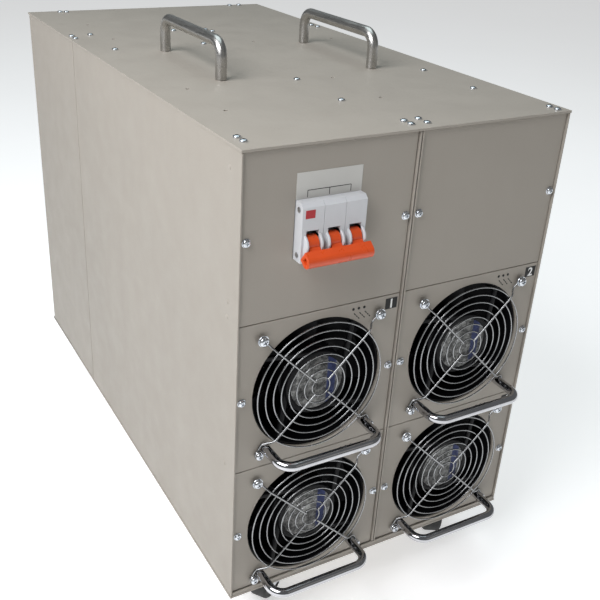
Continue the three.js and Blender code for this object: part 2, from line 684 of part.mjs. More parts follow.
// ---------------------------------------------------------------- casters
// Caster frame: z = 0 on the floor, x = 0 and y = 0 under the plate's middle, fork trailing along +X.

function wheel() {
  const half = WHEEL_WIDTH / 2;
  const bore = AXLE_RADIUS + AXLE_CLEARANCE;
  const shoulder = 4;
  return turnedAboutY([
    [bore, -half], [WHEEL_RADIUS - shoulder, -half], [WHEEL_RADIUS, -half + shoulder],
    [WHEEL_RADIUS, half - shoulder], [WHEEL_RADIUS - shoulder, half], [bore, half], [bore, -half],
  ], 20);
}

// Two legs, the bridge over the wheel and the axle; the axle is at (trail, 0, wheel radius).
function forkSolid(trail, bridgeTop) {
  const half = FORK_HALF_LENGTH;
  const bridgeBottom = bridgeTop - CASTER_SHEET;
  const leg = (y0, y1) => profileAlongY([
    [-half, bridgeBottom + 0.5], [trail - 7, WHEEL_RADIUS - 5], [trail + 7, WHEEL_RADIUS - 5],
    [trail + 7, WHEEL_RADIUS + 6], [half, bridgeBottom + 0.5],
  ], y0, y1);
  const bridge = block(-half, half, -legOuter, legOuter, bridgeBottom, bridgeTop);
  const axle = barY(AXLE_RADIUS, -legOuter - 1.5, legOuter + 1.5, trail, WHEEL_RADIUS, 12);
  return join(leg(-legOuter, -legInner), leg(legInner, legOuter), bridge, axle);
}

function casterPlate() {
  const half = CASTER_PLATE_SIZE / 2;
  return block(-half, half, -half, half, plateBottom, plateTop);
}

function swivelCaster(name, x, y, heading) {
  const group = new THREE.Group();
  group.position.set(x, y, 0);
  addPiece(group, `${name}_plate`, casterPlate(), zinc());
  const turning = new THREE.Group();
  turning.rotation.z = THREE.MathUtils.degToRad(heading);
  group.add(turning);
  const head = barZ(SWIVEL_RADIUS, FORK_BRIDGE_TOP - 0.5, plateBottom - SEAM, 0, 0, 20);
  addPiece(turning, `${name}_fork`, join(forkSolid(CASTER_TRAIL, FORK_BRIDGE_TOP), head), zinc());
  addPiece(turning, `${name}_wheel`, wheel(), blackPlastic()).position.set(CASTER_TRAIL, 0, WHEEL_RADIUS);
  return group;
}

function fixedCaster(name, x, y) {
  const group = new THREE.Group();
  group.position.set(x, y, 0);
  const turned = new THREE.Group();
  turned.rotation.z = Math.PI / 2;
  group.add(turned);
  const bracket = join(forkSolid(0, plateBottom + 0.5), casterPlate());
  addPiece(turned, `${name}_bracket`, bracket, zinc());
  addPiece(turned, `${name}_wheel`, wheel(), blackPlastic()).position.set(0, 0, WHEEL_RADIUS);
  return group;
}

// ---------------------------------------------------------------- assembly

function cabinetShell() {
  const shell = new THREE.Group();
  addPiece(shell, 'base_plate', basePlate(), paint());
  addPiece(shell, 'top_cover', topCover(), paint());
  for (const [word, side] of [['left', -1], ['right', 1]]) {
    addPiece(shell, `${word}_side_panel_front`, sidePanel(side, EDGE_Y, SIDE_SPLIT_Y, true), paint());
    addPiece(shell, `${word}_side_panel_rear`,
      sidePanel(side, SIDE_SPLIT_Y + SIDE_SPLIT_GAP, rearFaceY - SHEET - SEAM, false), paint());
    addPiece(shell, `divider_${word}`, divider(side), paint());
    addPiece(shell, `shelf_${word}_lower`, shelf(side, shelfTops[0]), paint());
    addPiece(shell, `shelf_${word}_upper`, shelf(side, shelfTops[1]), paint());
    const bow = bowHandle(TOP_HANDLE_SPACING, TOP_HANDLE_HEIGHT - SEAM, TOP_HANDLE_BAR, TOP_HANDLE_BEND,
      Y_AXIS, Z_AXIS);
    addPiece(shell, `top_handle_${word}`, bow, brightSteel())
      .position.set(side * TOP_HANDLE_X, TOP_HANDLE_Y, CABINET_HEIGHT + SEAM);
  }
  addPiece(shell, 'rear_panel', rearPanel(), paint());
  addPiece(shell, 'mains_cable_gland', cableGland(), blackPlastic())
    .position.set(-columnX, rearFaceY, REAR_FITTINGS_Z);
  addPiece(shell, 'output_terminal_board', outputTerminals(), blackPlastic())
    .position.set(columnX, rearFaceY, REAR_FITTINGS_Z);
  return shell;
}

function upperBays() {
  const bays = new THREE.Group();
  const bottom = rowBottoms[2] + PANEL_GAP / 2;
  const top = wallTop - SEAM;
  addPiece(bays, 'breaker_panel', breakerPanel(bottom, top), paint())
    .position.set(-columnX, PANEL_FACE_Y, 0);
  addPiece(bays, 'blank_panel', panelBlank(bottom, top), paint()).position.set(columnX, PANEL_FACE_Y, 0);
  const noseY = PANEL_FACE_Y - BREAKER_NOSE_OUT;
  addPiece(bays, 'breaker_body', breakerBody(), material(0xd9d9d6, 0.4, 0))
    .position.set(BREAKER_X, noseY, BREAKER_Z);
  addPiece(bays, 'breaker_toggle', breakerToggle(), material(0xd9541e, 0.35, 0))
    .position.set(BREAKER_X, noseY + TOGGLE_PIVOT_IN, TOGGLE_PIVOT_Z);
  addPiece(bays, 'din_rail', dinRail(), zinc())
    .position.set(-columnX, noseY + breakerBodyY + BREAKER_BODY_DEPTH + SEAM, BREAKER_Z);
  return bays;
}

const cabinet = new THREE.Group();
cabinet.position.z = CASTER_HEIGHT;
cabinet.add(cabinetShell(), upperBays());
cabinet.add(powerModule(1, -1, 1), powerModule(2, 1, 1), powerModule(3, -1, 0), powerModule(4, 1, 0));

const group = new THREE.Group();
group.position.y = -(frontReachY + rearReachY) / 2;
group.add(cabinet);
group.add(swivelCaster('front_left_caster', -CASTER_X, FRONT_CASTER_Y, FRONT_LEFT_HEADING));
group.add(swivelCaster('front_right_caster', CASTER_X, FRONT_CASTER_Y, FRONT_RIGHT_HEADING));
group.add(fixedCaster('rear_left_caster', -CASTER_X, REAR_CASTER_Y));
group.add(fixedCaster('rear_right_caster', CASTER_X, REAR_CASTER_Y));

export default group;
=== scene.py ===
import json
import math
import random

import bmesh
import bpy
from mathutils import Matrix, Vector


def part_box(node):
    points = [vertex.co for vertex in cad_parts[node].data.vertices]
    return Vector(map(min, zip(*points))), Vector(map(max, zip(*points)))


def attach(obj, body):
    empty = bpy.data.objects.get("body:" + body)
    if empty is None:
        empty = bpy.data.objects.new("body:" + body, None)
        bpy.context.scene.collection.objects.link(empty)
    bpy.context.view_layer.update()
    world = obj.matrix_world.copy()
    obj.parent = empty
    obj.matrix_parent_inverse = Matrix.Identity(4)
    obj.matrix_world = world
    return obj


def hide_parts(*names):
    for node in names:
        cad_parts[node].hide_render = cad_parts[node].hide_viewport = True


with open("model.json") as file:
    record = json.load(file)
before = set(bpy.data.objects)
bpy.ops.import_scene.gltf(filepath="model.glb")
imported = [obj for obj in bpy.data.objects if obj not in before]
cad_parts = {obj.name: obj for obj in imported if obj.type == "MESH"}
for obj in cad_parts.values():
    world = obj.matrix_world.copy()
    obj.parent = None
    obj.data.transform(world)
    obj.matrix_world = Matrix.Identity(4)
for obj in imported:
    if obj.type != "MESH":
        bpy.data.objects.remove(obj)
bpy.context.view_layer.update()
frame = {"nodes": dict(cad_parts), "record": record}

random.seed(7)

MM = 0.001
scene = bpy.context.scene
nodes = frame["nodes"]
body_of = {n: b for b, names in frame["record"]["behaviour"]["bodies"].items() for n in names}
joints = {j["name"]: j for j in frame["record"]["behaviour"]["joints"]}


def mid(node):
    """The middle of a CAD node's box, in metres."""
    low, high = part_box(node)
    return (Vector(low) + Vector(high)) / 2


def low(node):
    return Vector(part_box(node)[0])


def high(node):
    return Vector(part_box(node)[1])


# ------------------------------------------------------------------ camera

LENS = 51.5
SHIFT = (0.0375, -0.0113)
CAMERA_PLACE = Vector((-0.3914, -0.7551, 0.6279))
CAMERA_FORWARD = Vector((0.44233, 0.77479, -0.45172)).normalized()
CAMERA_RIGHT = Vector((0.87824, -0.47626, 0.04311))


def add_camera():
    data = bpy.data.cameras.new("camera")
    data.lens = LENS
    data.sensor_width = 36
    data.shift_x, data.shift_y = SHIFT
    data.clip_start = 0.01
    right = (CAMERA_RIGHT - CAMERA_FORWARD * CAMERA_RIGHT.dot(CAMERA_FORWARD)).normalized()
    up = right.cross(CAMERA_FORWARD)
    turn = Matrix((right, up, -CAMERA_FORWARD)).transposed().to_4x4()
    camera = bpy.data.objects.new("camera", data)
    camera.matrix_world = Matrix.Translation(CAMERA_PLACE) @ turn
    scene.collection.objects.link(camera)
    scene.camera = camera


add_camera()


# ------------------------------------------------------------------ materials

class Look:
    """A material under construction: a Principled shader and the nodes that feed it."""

    def __init__(self, name, roughness=0.5, metallic=0.0, **sockets):
        self.material = bpy.data.materials.new(name)
        self.material.use_nodes = True
        self.tree = self.material.node_tree
        self.shader = self.tree.nodes["Principled BSDF"]
        self.shader.inputs["Roughness"].default_value = roughness
        self.shader.inputs["Metallic"].default_value = metallic
        for socket, value in sockets.items():
            self.shader.inputs[socket.replace("_", " ")].default_value = value
        self.place = self.node("ShaderNodeTexCoord").outputs["Object"]

    def node(self, kind, **settings):
        made = self.tree.nodes.new(kind)
        for key, value in settings.items():
            setattr(made, key, value)
        return made

    def link(self, source, target):
        self.tree.links.new(source, target)

    def stretched(self, scale):
        mapping = self.node("ShaderNodeMapping")
        mapping.inputs["Scale"].default_value = scale
        self.link(self.place, mapping.inputs["Vector"])
        return mapping.outputs["Vector"]

    def noise(self, scale, detail=3.0, stretch=None, roughness=0.55):
        made = self.node("ShaderNodeTexNoise")
        made.inputs["Scale"].default_value = scale
        made.inputs["Detail"].default_value = detail
        made.inputs["Roughness"].default_value = roughness
        self.link(self.stretched(stretch) if stretch else self.place, made.inputs["Vector"])
        return made.outputs["Fac"]

    def ramp(self, source, stops):
        made = self.node("ShaderNodeValToRGB")
        elements = made.color_ramp.elements
        while len(elements) < len(stops):
            elements.new(0.5)
        for element, (position, colour) in zip(elements, stops):
            element.position = position
            element.color = (*colour, 1)
        self.link(source, made.inputs["Fac"])
        return made.outputs["Color"]

    def mix(self, amount, first, second, kind="MIX"):
        made = self.node("ShaderNodeMix", data_type="RGBA", blend_type=kind)
        for socket, value in ((0, amount), (6, first), (7, second)):
            if isinstance(value, bpy.types.NodeSocket):
                self.link(value, made.inputs[socket])
            elif socket == 0:
                made.inputs[socket].default_value = value
            else:
                made.inputs[socket].default_value = (*value, 1)
        return made.outputs[2]

    def spread(self, source, least, most):
        made = self.node("ShaderNodeMapRange")
        made.inputs["To Min"].default_value = least
        made.inputs["To Max"].default_value = most
        made.inputs["From Min"].default_value = 0.3
        made.inputs["From Max"].default_value = 0.7
        self.link(source, made.inputs["Value"])
        return made.outputs["Result"]

    def step(self, source, off, on):
        """0 where the source is at or beyond off, 1 where it is at or beyond on."""
        made = self.node("ShaderNodeMapRange")
        made.inputs["From Min"].default_value = off
        made.inputs["From Max"].default_value = on
        self.link(source, made.inputs["Value"])
        return made.outputs["Result"]

    def colour(self, source):
        self.link(source, self.shader.inputs["Base Color"])

    def roughness(self, source):
        self.link(source, self.shader.inputs["Roughness"])

    def bump(self, source, strength, depth):
        made = self.node("ShaderNodeBump")
        made.inputs["Strength"].default_value = strength
        made.inputs["Distance"].default_value = depth
        self.link(source, made.inputs["Height"])
        self.link(made.outputs["Normal"], self.shader.inputs["Normal"])


def tint(colour, factor):
    return tuple(min(1.0, c * factor) for c in colour)


def edge_mask(look, radius):
    """1 along the edges of the shape, 0 on its faces."""
    rounded = look.node("ShaderNodeBevel", samples=4)
    rounded.inputs["Radius"].default_value = radius
    true = look.node("ShaderNodeNewGeometry").outputs["Normal"]
    dot = look.node("ShaderNodeVectorMath", operation="DOT_PRODUCT")
    look.link(rounded.outputs["Normal"], dot.inputs[0])
    look.link(true, dot.inputs[1])
    mask = look.node("ShaderNodeMapRange")
    mask.inputs["From Min"].default_value = 0.995
    mask.inputs["From Max"].default_value = 0.9
    look.link(dot.outputs["Value"], mask.inputs["Value"])
    return mask.outputs["Result"]


def powder_coat(name, base):
    """Matt powder paint: fine grain, faint streaks, and a painted highlight along the edges, broken up by
    noise.
    """
    look = Look(name, roughness=0.5, Specular_IOR_Level=0.42)
    broad = look.noise(5.0, 4.0)
    grain = look.noise(1500.0, 2.0)
    streaks = look.noise(9.0, 5.0, stretch=(3.0, 3.0, 0.5))
    colour = look.ramp(broad, [(0.3, tint(base, 0.965)), (0.7, tint(base, 1.03))])
    speckle = look.ramp(grain, [(0.3, (0.93, 0.93, 0.93)), (0.7, (1.0, 1.0, 1.0))])
    colour = look.mix(0.7, colour, speckle, "MULTIPLY")
    smudge = look.ramp(streaks, [(0.35, (0.95, 0.945, 0.935)), (0.6, (1.0, 1.0, 1.0))])
    colour = look.mix(0.35, colour, smudge, "MULTIPLY")
    # Painted highlight: the paint turns lighter along the edges, where light catches them, broken up by
    # noise.
    edge_highlight = look.node("ShaderNodeMath", operation="MULTIPLY")
    look.link(edge_mask(look, 0.0012), edge_highlight.inputs[0])
    look.link(look.spread(look.noise(160.0, 4.0), 0.0, 0.55), edge_highlight.inputs[1])
    colour = look.mix(edge_highlight.outputs["Value"], colour, tint(base, 1.35))
    look.colour(colour)
    look.roughness(look.spread(look.noise(40.0, 3.0), 0.44, 0.58))
    look.bump(look.noise(1100.0, 2.0), 0.22, 0.00012)
    return look.material


def metal(name, base, roughness, spread=0.06, grain=700.0, stretch=None, bump=0.05, wear=0.0):
    look = Look(name, roughness=roughness, metallic=1.0)
    tone = look.noise(grain * 0.12, 4.0)
    colour = look.ramp(tone, [(0.3, tint(base, 0.86)), (0.7, tint(base, 1.06))])
    if wear:
        spots = look.ramp(look.noise(260.0, 5.0), [(0.52, (1, 1, 1)), (0.66, (0.5, 0.48, 0.45))])
        colour = look.mix(wear, colour, spots, "MULTIPLY")
    look.colour(colour)
    fine = look.noise(grain, 3.0, stretch=stretch)
    look.roughness(look.spread(fine, max(0.02, roughness - spread), roughness + spread))
    look.bump(fine, bump, 0.0001)
    return look.material


def plastic(name, base, roughness, grain=1300.0, bump=0.15, variation=0.05, coat=0.0, specular=0.5):
    look = Look(name, roughness=roughness, Coat_Weight=coat, Specular_IOR_Level=specular)
    tone = look.noise(45.0, 4.0)
    look.colour(look.ramp(tone, [(0.3, tint(base, 1 - variation)), (0.7, tint(base, 1 + variation))]))
    look.roughness(look.spread(look.noise(120.0, 4.0), roughness - 0.06, roughness + 0.08))
    look.bump(look.noise(grain, 2.0), bump, 0.00008)
    return look.material


def hub_sticker(name):
    """A worn, scratched foil disc with a narrow navy band towards its right edge."""
    look = Look(name, roughness=0.32, metallic=0.6)
    mottled = look.ramp(look.noise(210.0, 6.0, roughness=0.7), [
        (0.38, (0.03, 0.03, 0.03)), (0.5, (0.12, 0.12, 0.117)), (0.66, (0.34, 0.34, 0.33))])
    local = look.node("ShaderNodeTexCoord").outputs["Generated"]
    split = look.node("ShaderNodeSeparateXYZ")
    look.link(local, split.inputs["Vector"])
    rise = look.step(split.outputs["X"], 0.68, 0.71)
    fall = look.step(split.outputs["X"], 0.88, 0.85)
    band = look.node("ShaderNodeMath", operation="MULTIPLY")
    look.link(rise, band.inputs[0])
    look.link(fall, band.inputs[1])
    blue = look.ramp(look.noise(160.0, 5.0), [(0.35, (0.012, 0.018, 0.07)), (0.65, (0.028, 0.042, 0.13))])
    look.colour(look.mix(band.outputs["Value"], mottled, blue))
    look.roughness(look.spread(look.noise(300.0, 4.0), 0.22, 0.5))
    look.bump(look.noise(420.0, 3.0), 0.3, 0.0001)
    return look.material


def pale_floor(name):
    look = Look(name, roughness=0.8, Emission_Color=(1, 1, 1, 1), Emission_Strength=0.5)
    look.colour(look.ramp(look.noise(2.5, 3.0), [(0.3, (0.86, 0.86, 0.86)), (0.7, (0.89, 0.89, 0.89))]))
    look.bump(look.noise(60.0, 2.0), 0.03, 0.0005)
    return look.material


PAINT = powder_coat("powder_coat_grey_beige", (0.342, 0.311, 0.270))
CHROME = metal("bright_chrome", (0.56, 0.56, 0.58), 0.09, spread=0.05, grain=380.0, bump=0.03)
BRUSHED = metal("brushed_bar_steel", (0.52, 0.51, 0.49), 0.32, spread=0.08, grain=900.0,
                stretch=(1.0, 0.06, 1.0), bump=0.12)
ZINC = metal("bright_zinc", (0.68, 0.71, 0.75), 0.22, spread=0.08, grain=600.0, bump=0.06, wear=0.35)
WIRE = metal("plated_wire", (0.34, 0.345, 0.35), 0.24, spread=0.06, grain=500.0, bump=0.04)
ALUMINIUM = metal("mill_aluminium", (0.70, 0.71, 0.72), 0.36, grain=800.0, stretch=(1.0, 0.08, 1.0), bump=0.1)
BLACK = plastic("black_fan_plastic", (0.005, 0.005, 0.006), 0.42, specular=0.16)
TERMINAL_BLACK = plastic("black_board", (0.03, 0.03, 0.032), 0.5)
WHITE = plastic("breaker_white", (0.60, 0.61, 0.63), 0.34, grain=900.0, bump=0.06, variation=0.02)
ORANGE = plastic("toggle_orange", (0.66, 0.075, 0.012), 0.3, grain=700.0, bump=0.08, variation=0.06, coat=0.2)
RUBBER = plastic("wheel_black", (0.018, 0.018, 0.018), 0.6, grain=500.0, bump=0.3, variation=0.2)
PRINT = plastic("black_print", (0.012, 0.012, 0.012), 0.45, bump=0.05, specular=0.3)
PAPER = plastic("label_paper", (0.56, 0.55, 0.52), 0.55, grain=2400.0, bump=0.08, variation=0.02)
CHALK = plastic("white_print", (0.82, 0.82, 0.80), 0.5, bump=0.05, variation=0.01)
RED = plastic("red_patch", (0.42, 0.012, 0.02), 0.4, bump=0.05)
STICKER = hub_sticker("hub_foil")


# ------------------------------------------------------------------ mesh tools

def emit(name, bm, material, body, replaces=(), angle=32.0, weighted=True):
    """Turns a bmesh, in metres, into a piece that rides on a body."""
    bmesh.ops.recalc_face_normals(bm, faces=bm.faces)
    mesh = bpy.data.meshes.new(name)
    bm.to_mesh(mesh)
    bm.free()
    mesh.materials.append(material)
    mesh.polygons.foreach_set("use_smooth", [True] * len(mesh.polygons))
    mesh.set_sharp_from_angle(angle=math.radians(angle))
    piece = bpy.data.objects.new(name, mesh)
    scene.collection.objects.link(piece)
    if weighted:
        piece.modifiers.new("normals", "WEIGHTED_NORMAL").keep_sharp = True
    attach(piece, body)
    if replaces:
        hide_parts(*replaces)


def round_edges(bm, width, segments=2, angle=28.0):
    """Rounds every edge sharper than the angle."""
    edges = [e for e in bm.edges if len(e.link_faces) == 2 and e.calc_face_angle(0) > math.radians(angle)]
    bmesh.ops.bevel(bm, geom=edges, offset=width * MM, segments=segments, profile=0.5, affect="EDGES",
                    clamp_overlap=True)


def box_mesh(bm, x0, x1, y0, y1, z0, z1):
    """Adds a block between two corners, in millimetres about the caller's origin."""
    made = bmesh.ops.create_cube(bm, size=1.0)["verts"]
    size = Vector((x1 - x0, y1 - y0, z1 - z0)) * MM
    middle = Vector((x1 + x0, y1 + y0, z1 + z0)) * MM / 2
    for vert in made:
        vert.co = Vector(a * b for a, b in zip(vert.co, size)) + middle


def prism(bm, outline, depth_from, depth_to, along="x"):
    """Adds a prism: the outline's points are (y, z) for a prism along x, (x, z) along y, (x, y) along z."""
    def place(a, b, depth):
        point = {"x": (depth, a, b), "y": (a, depth, b), "z": (a, b, depth)}[along]
        return Vector(point) * MM
    rings = [[bm.verts.new(place(a, b, d)) for a, b in outline] for d in (depth_from, depth_to)]
    count = len(outline)
    for i in range(count):
        j = (i + 1) % count
        bm.faces.new((rings[0][i], rings[0][j], rings[1][j], rings[1][i]))
    bm.faces.new(rings[0][::-1])
    bm.faces.new(rings[1])


def sweep(bm, points, radius, sides=16, closed=False):
    """Adds a round bar along points, in metres; its section keeps an even twist."""
    count = len(points)
    tangents = []
    for i in range(count):
        before = points[i - 1] if closed or i else points[0]
        after = points[(i + 1) % count] if closed or i < count - 1 else points[-1]
        tangents.append((after - before).normalized())
    seed = Vector((0.31, 0.17, 0.93))
    side = (seed - tangents[0] * seed.dot(tangents[0])).normalized()
    rings = []
    for point, tangent in zip(points, tangents):
        side = (side - tangent * side.dot(tangent)).normalized()
        other = tangent.cross(side)
        rings.append([bm.verts.new(point + (side * math.cos(a) + other * math.sin(a)) * radius)
                      for a in (2 * math.pi * k / sides for k in range(sides))])
    spans = count if closed else count - 1
    for i in range(spans):
        first, second = rings[i], rings[(i + 1) % count]
        offset = 0
        if closed and i == count - 1:
            offset = min(range(sides), key=lambda s: (second[s].co - first[0].co).length)
        for k in range(sides):
            n = (k + 1) % sides
            bm.faces.new((first[k], first[n], second[(n + offset) % sides], second[(k + offset) % sides]))
    if not closed:
        bm.faces.new(rings[0][::-1])
        bm.faces.new(rings[-1])


def turned(bm, profile, centre, axis="y", sides=48):
    """Adds a turned body. The profile is (radius, place along the axis) in millimetres; centre in metres."""
    around = {"x": lambda r, h, a: (h, r * math.cos(a), r * math.sin(a)),
              "y": lambda r, h, a: (r * math.cos(a), h, r * math.sin(a)),
              "z": lambda r, h, a: (r * math.cos(a), r * math.sin(a), h)}[axis]
    rings = []
    for radius, height in profile:
        if radius < 1e-6:
            rings.append([bm.verts.new(Vector(around(0, height, 0)) * MM + centre)])
            continue
        rings.append([bm.verts.new(Vector(around(radius, height, 2 * math.pi * k / sides)) * MM + centre)
                      for k in range(sides)])
    for first, second in zip(rings, rings[1:]):
        for k in range(sides):
            n = (k + 1) % sides
            if len(first) == 1 and len(second) > 1:
                bm.faces.new((first[0], second[n], second[k]))
            elif len(second) == 1 and len(first) > 1:
                bm.faces.new((first[k], first[n], second[0]))
            elif len(first) > 1:
                bm.faces.new((first[k], first[n], second[n], second[k]))


def arc(centre, radius, start, end, steps):
    """Points on an arc, as (a, b) pairs; angles in degrees."""
    return [(centre[0] + radius * math.cos(math.radians(start + (end - start) * i / steps)),
             centre[1] + radius * math.sin(math.radians(start + (end - start) * i / steps)))
            for i in range(steps + 1)]


def carve(bm, cutters):
    """The solid less the cutters, by exact booleans."""
    def as_object(source):
        mesh = bpy.data.meshes.new("carving")
        bmesh.ops.recalc_face_normals(source, faces=source.faces)
        source.to_mesh(mesh)
        source.free()
        made = bpy.data.objects.new("carving", mesh)
        scene.collection.objects.link(made)
        return made
    body = as_object(bm)
    tools = [as_object(cutter) for cutter in cutters]
    for tool in tools:
        cut = body.modifiers.new("cut", "BOOLEAN")
        cut.operation = "DIFFERENCE"
        cut.solver = "EXACT"
        cut.object = tool
    bpy.context.view_layer.update()
    evaluated = body.evaluated_get(bpy.context.evaluated_depsgraph_get())
    result = bmesh.new()
    result.from_mesh(evaluated.to_mesh())
    evaluated.to_mesh_clear()
    for item in [body, *tools]:
        mesh = item.data
        bpy.data.objects.remove(item)
        bpy.data.meshes.remove(mesh)
    return result


def finer(node, material, width=0.4, segments=2, angle=28.0):
    """A rounded-edge copy of a CAD node, in its place."""
    bm = bmesh.new()
    bm.from_mesh(nodes[node].data)
    bmesh.ops.remove_doubles(bm, verts=bm.verts, dist=2e-6)
    bmesh.ops.dissolve_limit(bm, angle_limit=math.radians(1.0), verts=bm.verts, edges=bm.edges)
    round_edges(bm, width, segments, angle)
    emit(node + "_fine", bm, material, body_of[node], (node,))


def append_copy(bm, source, matrix):
    """Adds a transformed copy of a prepared bmesh."""
    copy = source.copy()
    copy.transform(matrix)
    mesh = bpy.data.meshes.new("copy")
    copy.to_mesh(mesh)
    copy.free()
    bm.from_mesh(mesh)
    bpy.data.meshes.remove(mesh)


# ------------------------------------------------------------------ screws

def screw_head(radius, height, washer=0.0, washer_height=0.0, seat=0.0):
    """A cross-recessed pan head along +z, standing on z = seat, with an optional washer under it."""
    bm = bmesh.new()
    base = seat + washer_height
    edge = [(radius, base), (radius, base + height * 0.45)]
    crown = [(radius * math.cos(a), base + height * (0.45 + 0.55 * math.sin(a)))
             for a in (math.radians(d) for d in (15, 35, 55, 72))]
    turned(bm, [(0, base), *edge, *crown, (0, base + height)], Vector(), "z", 28)
    cross = bmesh.new()
    reach, half = radius * 0.52, radius * 0.13
    prism(cross, [(-half, -reach), (half, -reach), (half, -half), (reach, -half), (reach, half), (half, half),
                  (half, reach), (-half, reach), (-half, half), (-reach, half), (-reach, -half),
                  (-half, -half)], base + height * 0.35, base + height + 1, "z")
    bm = carve(bm, [cross])
    if washer:
        turned(bm, [(0, seat), (washer, seat), (washer, seat + washer_height * 0.7),
                    (washer - 0.2, seat + washer_height), (0, seat + washer_height)], Vector(), "z", 28)
    return bm


def facing(normal):
    """The turn that takes +z to the normal."""
    return Vector(normal).to_track_quat("Z", "Y").to_matrix().to_4x4()


def screws(name, head, places, normal, body):
    """One piece with a screw at each place, in metres, each turned by its own angle."""
    bm = bmesh.new()
    for place in places:
        spin = Matrix.Rotation(random.uniform(0, math.pi / 2), 4, "Z")
        append_copy(bm, head, Matrix.Translation(place) @ facing(normal) @ spin)
    emit(name, bm, ZINC, body, angle=40.0, weighted=False)


PAN = screw_head(3.0, 2.1, washer=3.5, washer_height=0.5)
SMALL_PAN = screw_head(2.9, 1.9)
CAP = screw_head(3.9, 3.2, washer=4.7, washer_height=1.1, seat=0.2)
CLOSE_CAP = screw_head(3.4, 3.2, washer=3.6, washer_height=1.1, seat=0.2)


# ------------------------------------------------------------------ cabinet shell

for sheet in ("top_cover", "base_plate"):
    finer(sheet, PAINT, 0.55, 3)
for sheet in ("left_side_panel_front", "left_side_panel_rear", "right_side_panel_front",
              "right_side_panel_rear", "divider_left", "divider_right", "rear_panel"):
    finer(sheet, PAINT, 0.35, 2)
for sheet in ("breaker_panel", "blank_panel"):
    finer(sheet, PAINT, 0.45, 2)

top = high("top_cover").z
front = low("top_cover").y
left = low("top_cover").x

RIVET_INSET = 18  # from the cabinet's front edge
RIVET_HEIGHTS = (383, 280, 268, 133.5)  # above the base plate's underside

# Screws in the top cover: millimetres from its left edge and from its front edge.
TOP_SCREWS = [
    (9.7, 27), (9.7, 17), (145, 21), (145, 12), (159, 22), (159, 11), (286, 15), (286, 6), (134, 163),
    (133, 89), (267, 158), (266, 86), (120, 329), (118, 404), (26, 403), (26, 326), (154, 401), (157, 389),
    (6, 401), (6, 388), (286, 396), (287, 384), (35, 546), (42, 544), (254, 548), (267, 548)]
screws("top_cover_screws", SMALL_PAN,
       [Vector((left + x * MM, front + y * MM, top)) for x, y in TOP_SCREWS], (0, 0, 1), "cabinet")


def side_rivets():
    """Low painted rivet heads along the front of each side sheet."""
    for word, node, sign in (("left", "left_side_panel_front", -1), ("right", "right_side_panel_front", 1)):
        bm = bmesh.new()
        face = low(node).x if sign < 0 else high(node).x
        for z in RIVET_HEIGHTS:
            centre = Vector((face, front + RIVET_INSET * MM, low("base_plate").z + z * MM))
            turned(bm, [(0, 0), (1.9, 0), (1.6, 0.35 * sign), (0.9, 0.55 * sign), (0, 0.6 * sign)],
                   centre, "x", 20)
        emit(word + "_side_rivets", bm, PAINT, "cabinet", weighted=False)


side_rivets()


# ------------------------------------------------------------------ bar handles

TOP_HANDLE = {"spacing": 126, "reach": 30.7, "radius": 4.95, "bend": 13}
MODULE_HANDLE = {"spacing": 92, "reach": 31.7, "radius": 3.95, "bend": 12}


def bow(spacing, reach, bend, along, out, foot):
    """Centre line of a bent bar handle, in metres: leg, bend, grip, bend, leg."""
    half = spacing / 2
    path = [(-half, 0.0), (-half, (reach - bend) * 0.5)]
    path += arc((-half + bend, reach - bend), bend, 180, 90, 12)
    path += [(-half + bend + (spacing - 2 * bend) * t, reach) for t in (0.25, 0.5, 0.75)]
    path += [(-a, b) for a, b in reversed(path[:-3])]
    return [foot + (Vector(along) * a + Vector(out) * b) * MM for a, b in path]


def add_handle(node, along, out, foot, material, spacing, reach, radius, bend):
    """A round bar bent into a bow; it stands on its foot point and replaces the CAD node."""
    bm = bmesh.new()
    sweep(bm, bow(spacing, reach, bend, along, out, foot), radius * MM, 32)
    round_edges(bm, 0.5, 2, 60.0)
    emit(node + "_fine", bm, material, body_of[node], (node,), angle=50.0, weighted=False)


for side in ("left", "right"):
    node = "top_handle_" + side
    centre = mid(node)
    add_handle(node, (0, 1, 0), (0, 0, 1), Vector((centre.x, centre.y, low(node).z)), BRUSHED, **TOP_HANDLE)


# ------------------------------------------------------------------ breaker

POLE = 18.0  # one pole's width
POLE_SEAM = 0.14  # half the groove between two poles
NOSE_HALF = 22.5  # half the height of the raised nose
NOSE_DEPTH = 14
NOSE_BEVEL = 3
BODY_HALF = 40.2  # half the height of the body behind the panel
BODY_REACH = 63  # from the nose's face to the back
SLOT_HALF = 5.1
SLOT_REACH = 11  # above and below the hinge
SLOT_DEPTH = 9.5  # behind the hinge
RIM_WIDTH = 1.8
RIM_RADIUS = 8.5
LEVER_HALF = 4.5
TOGGLE_DOWN = math.radians(36)
GRIP = 4.9  # half the height of the tie bar
GRIP_CENTRE = 14.4  # from the hinge to the middle of its round side
BAR_HALF = 27.5
LABEL_HALF = 27.2
LABEL_FOOT, LABEL_TOP = 358.6, 378.2  # above the base plate's underside
BRACKET_FOOT, BRACKET_TOP = 359.4, 364.3
INK = 0.5  # width of a printed line


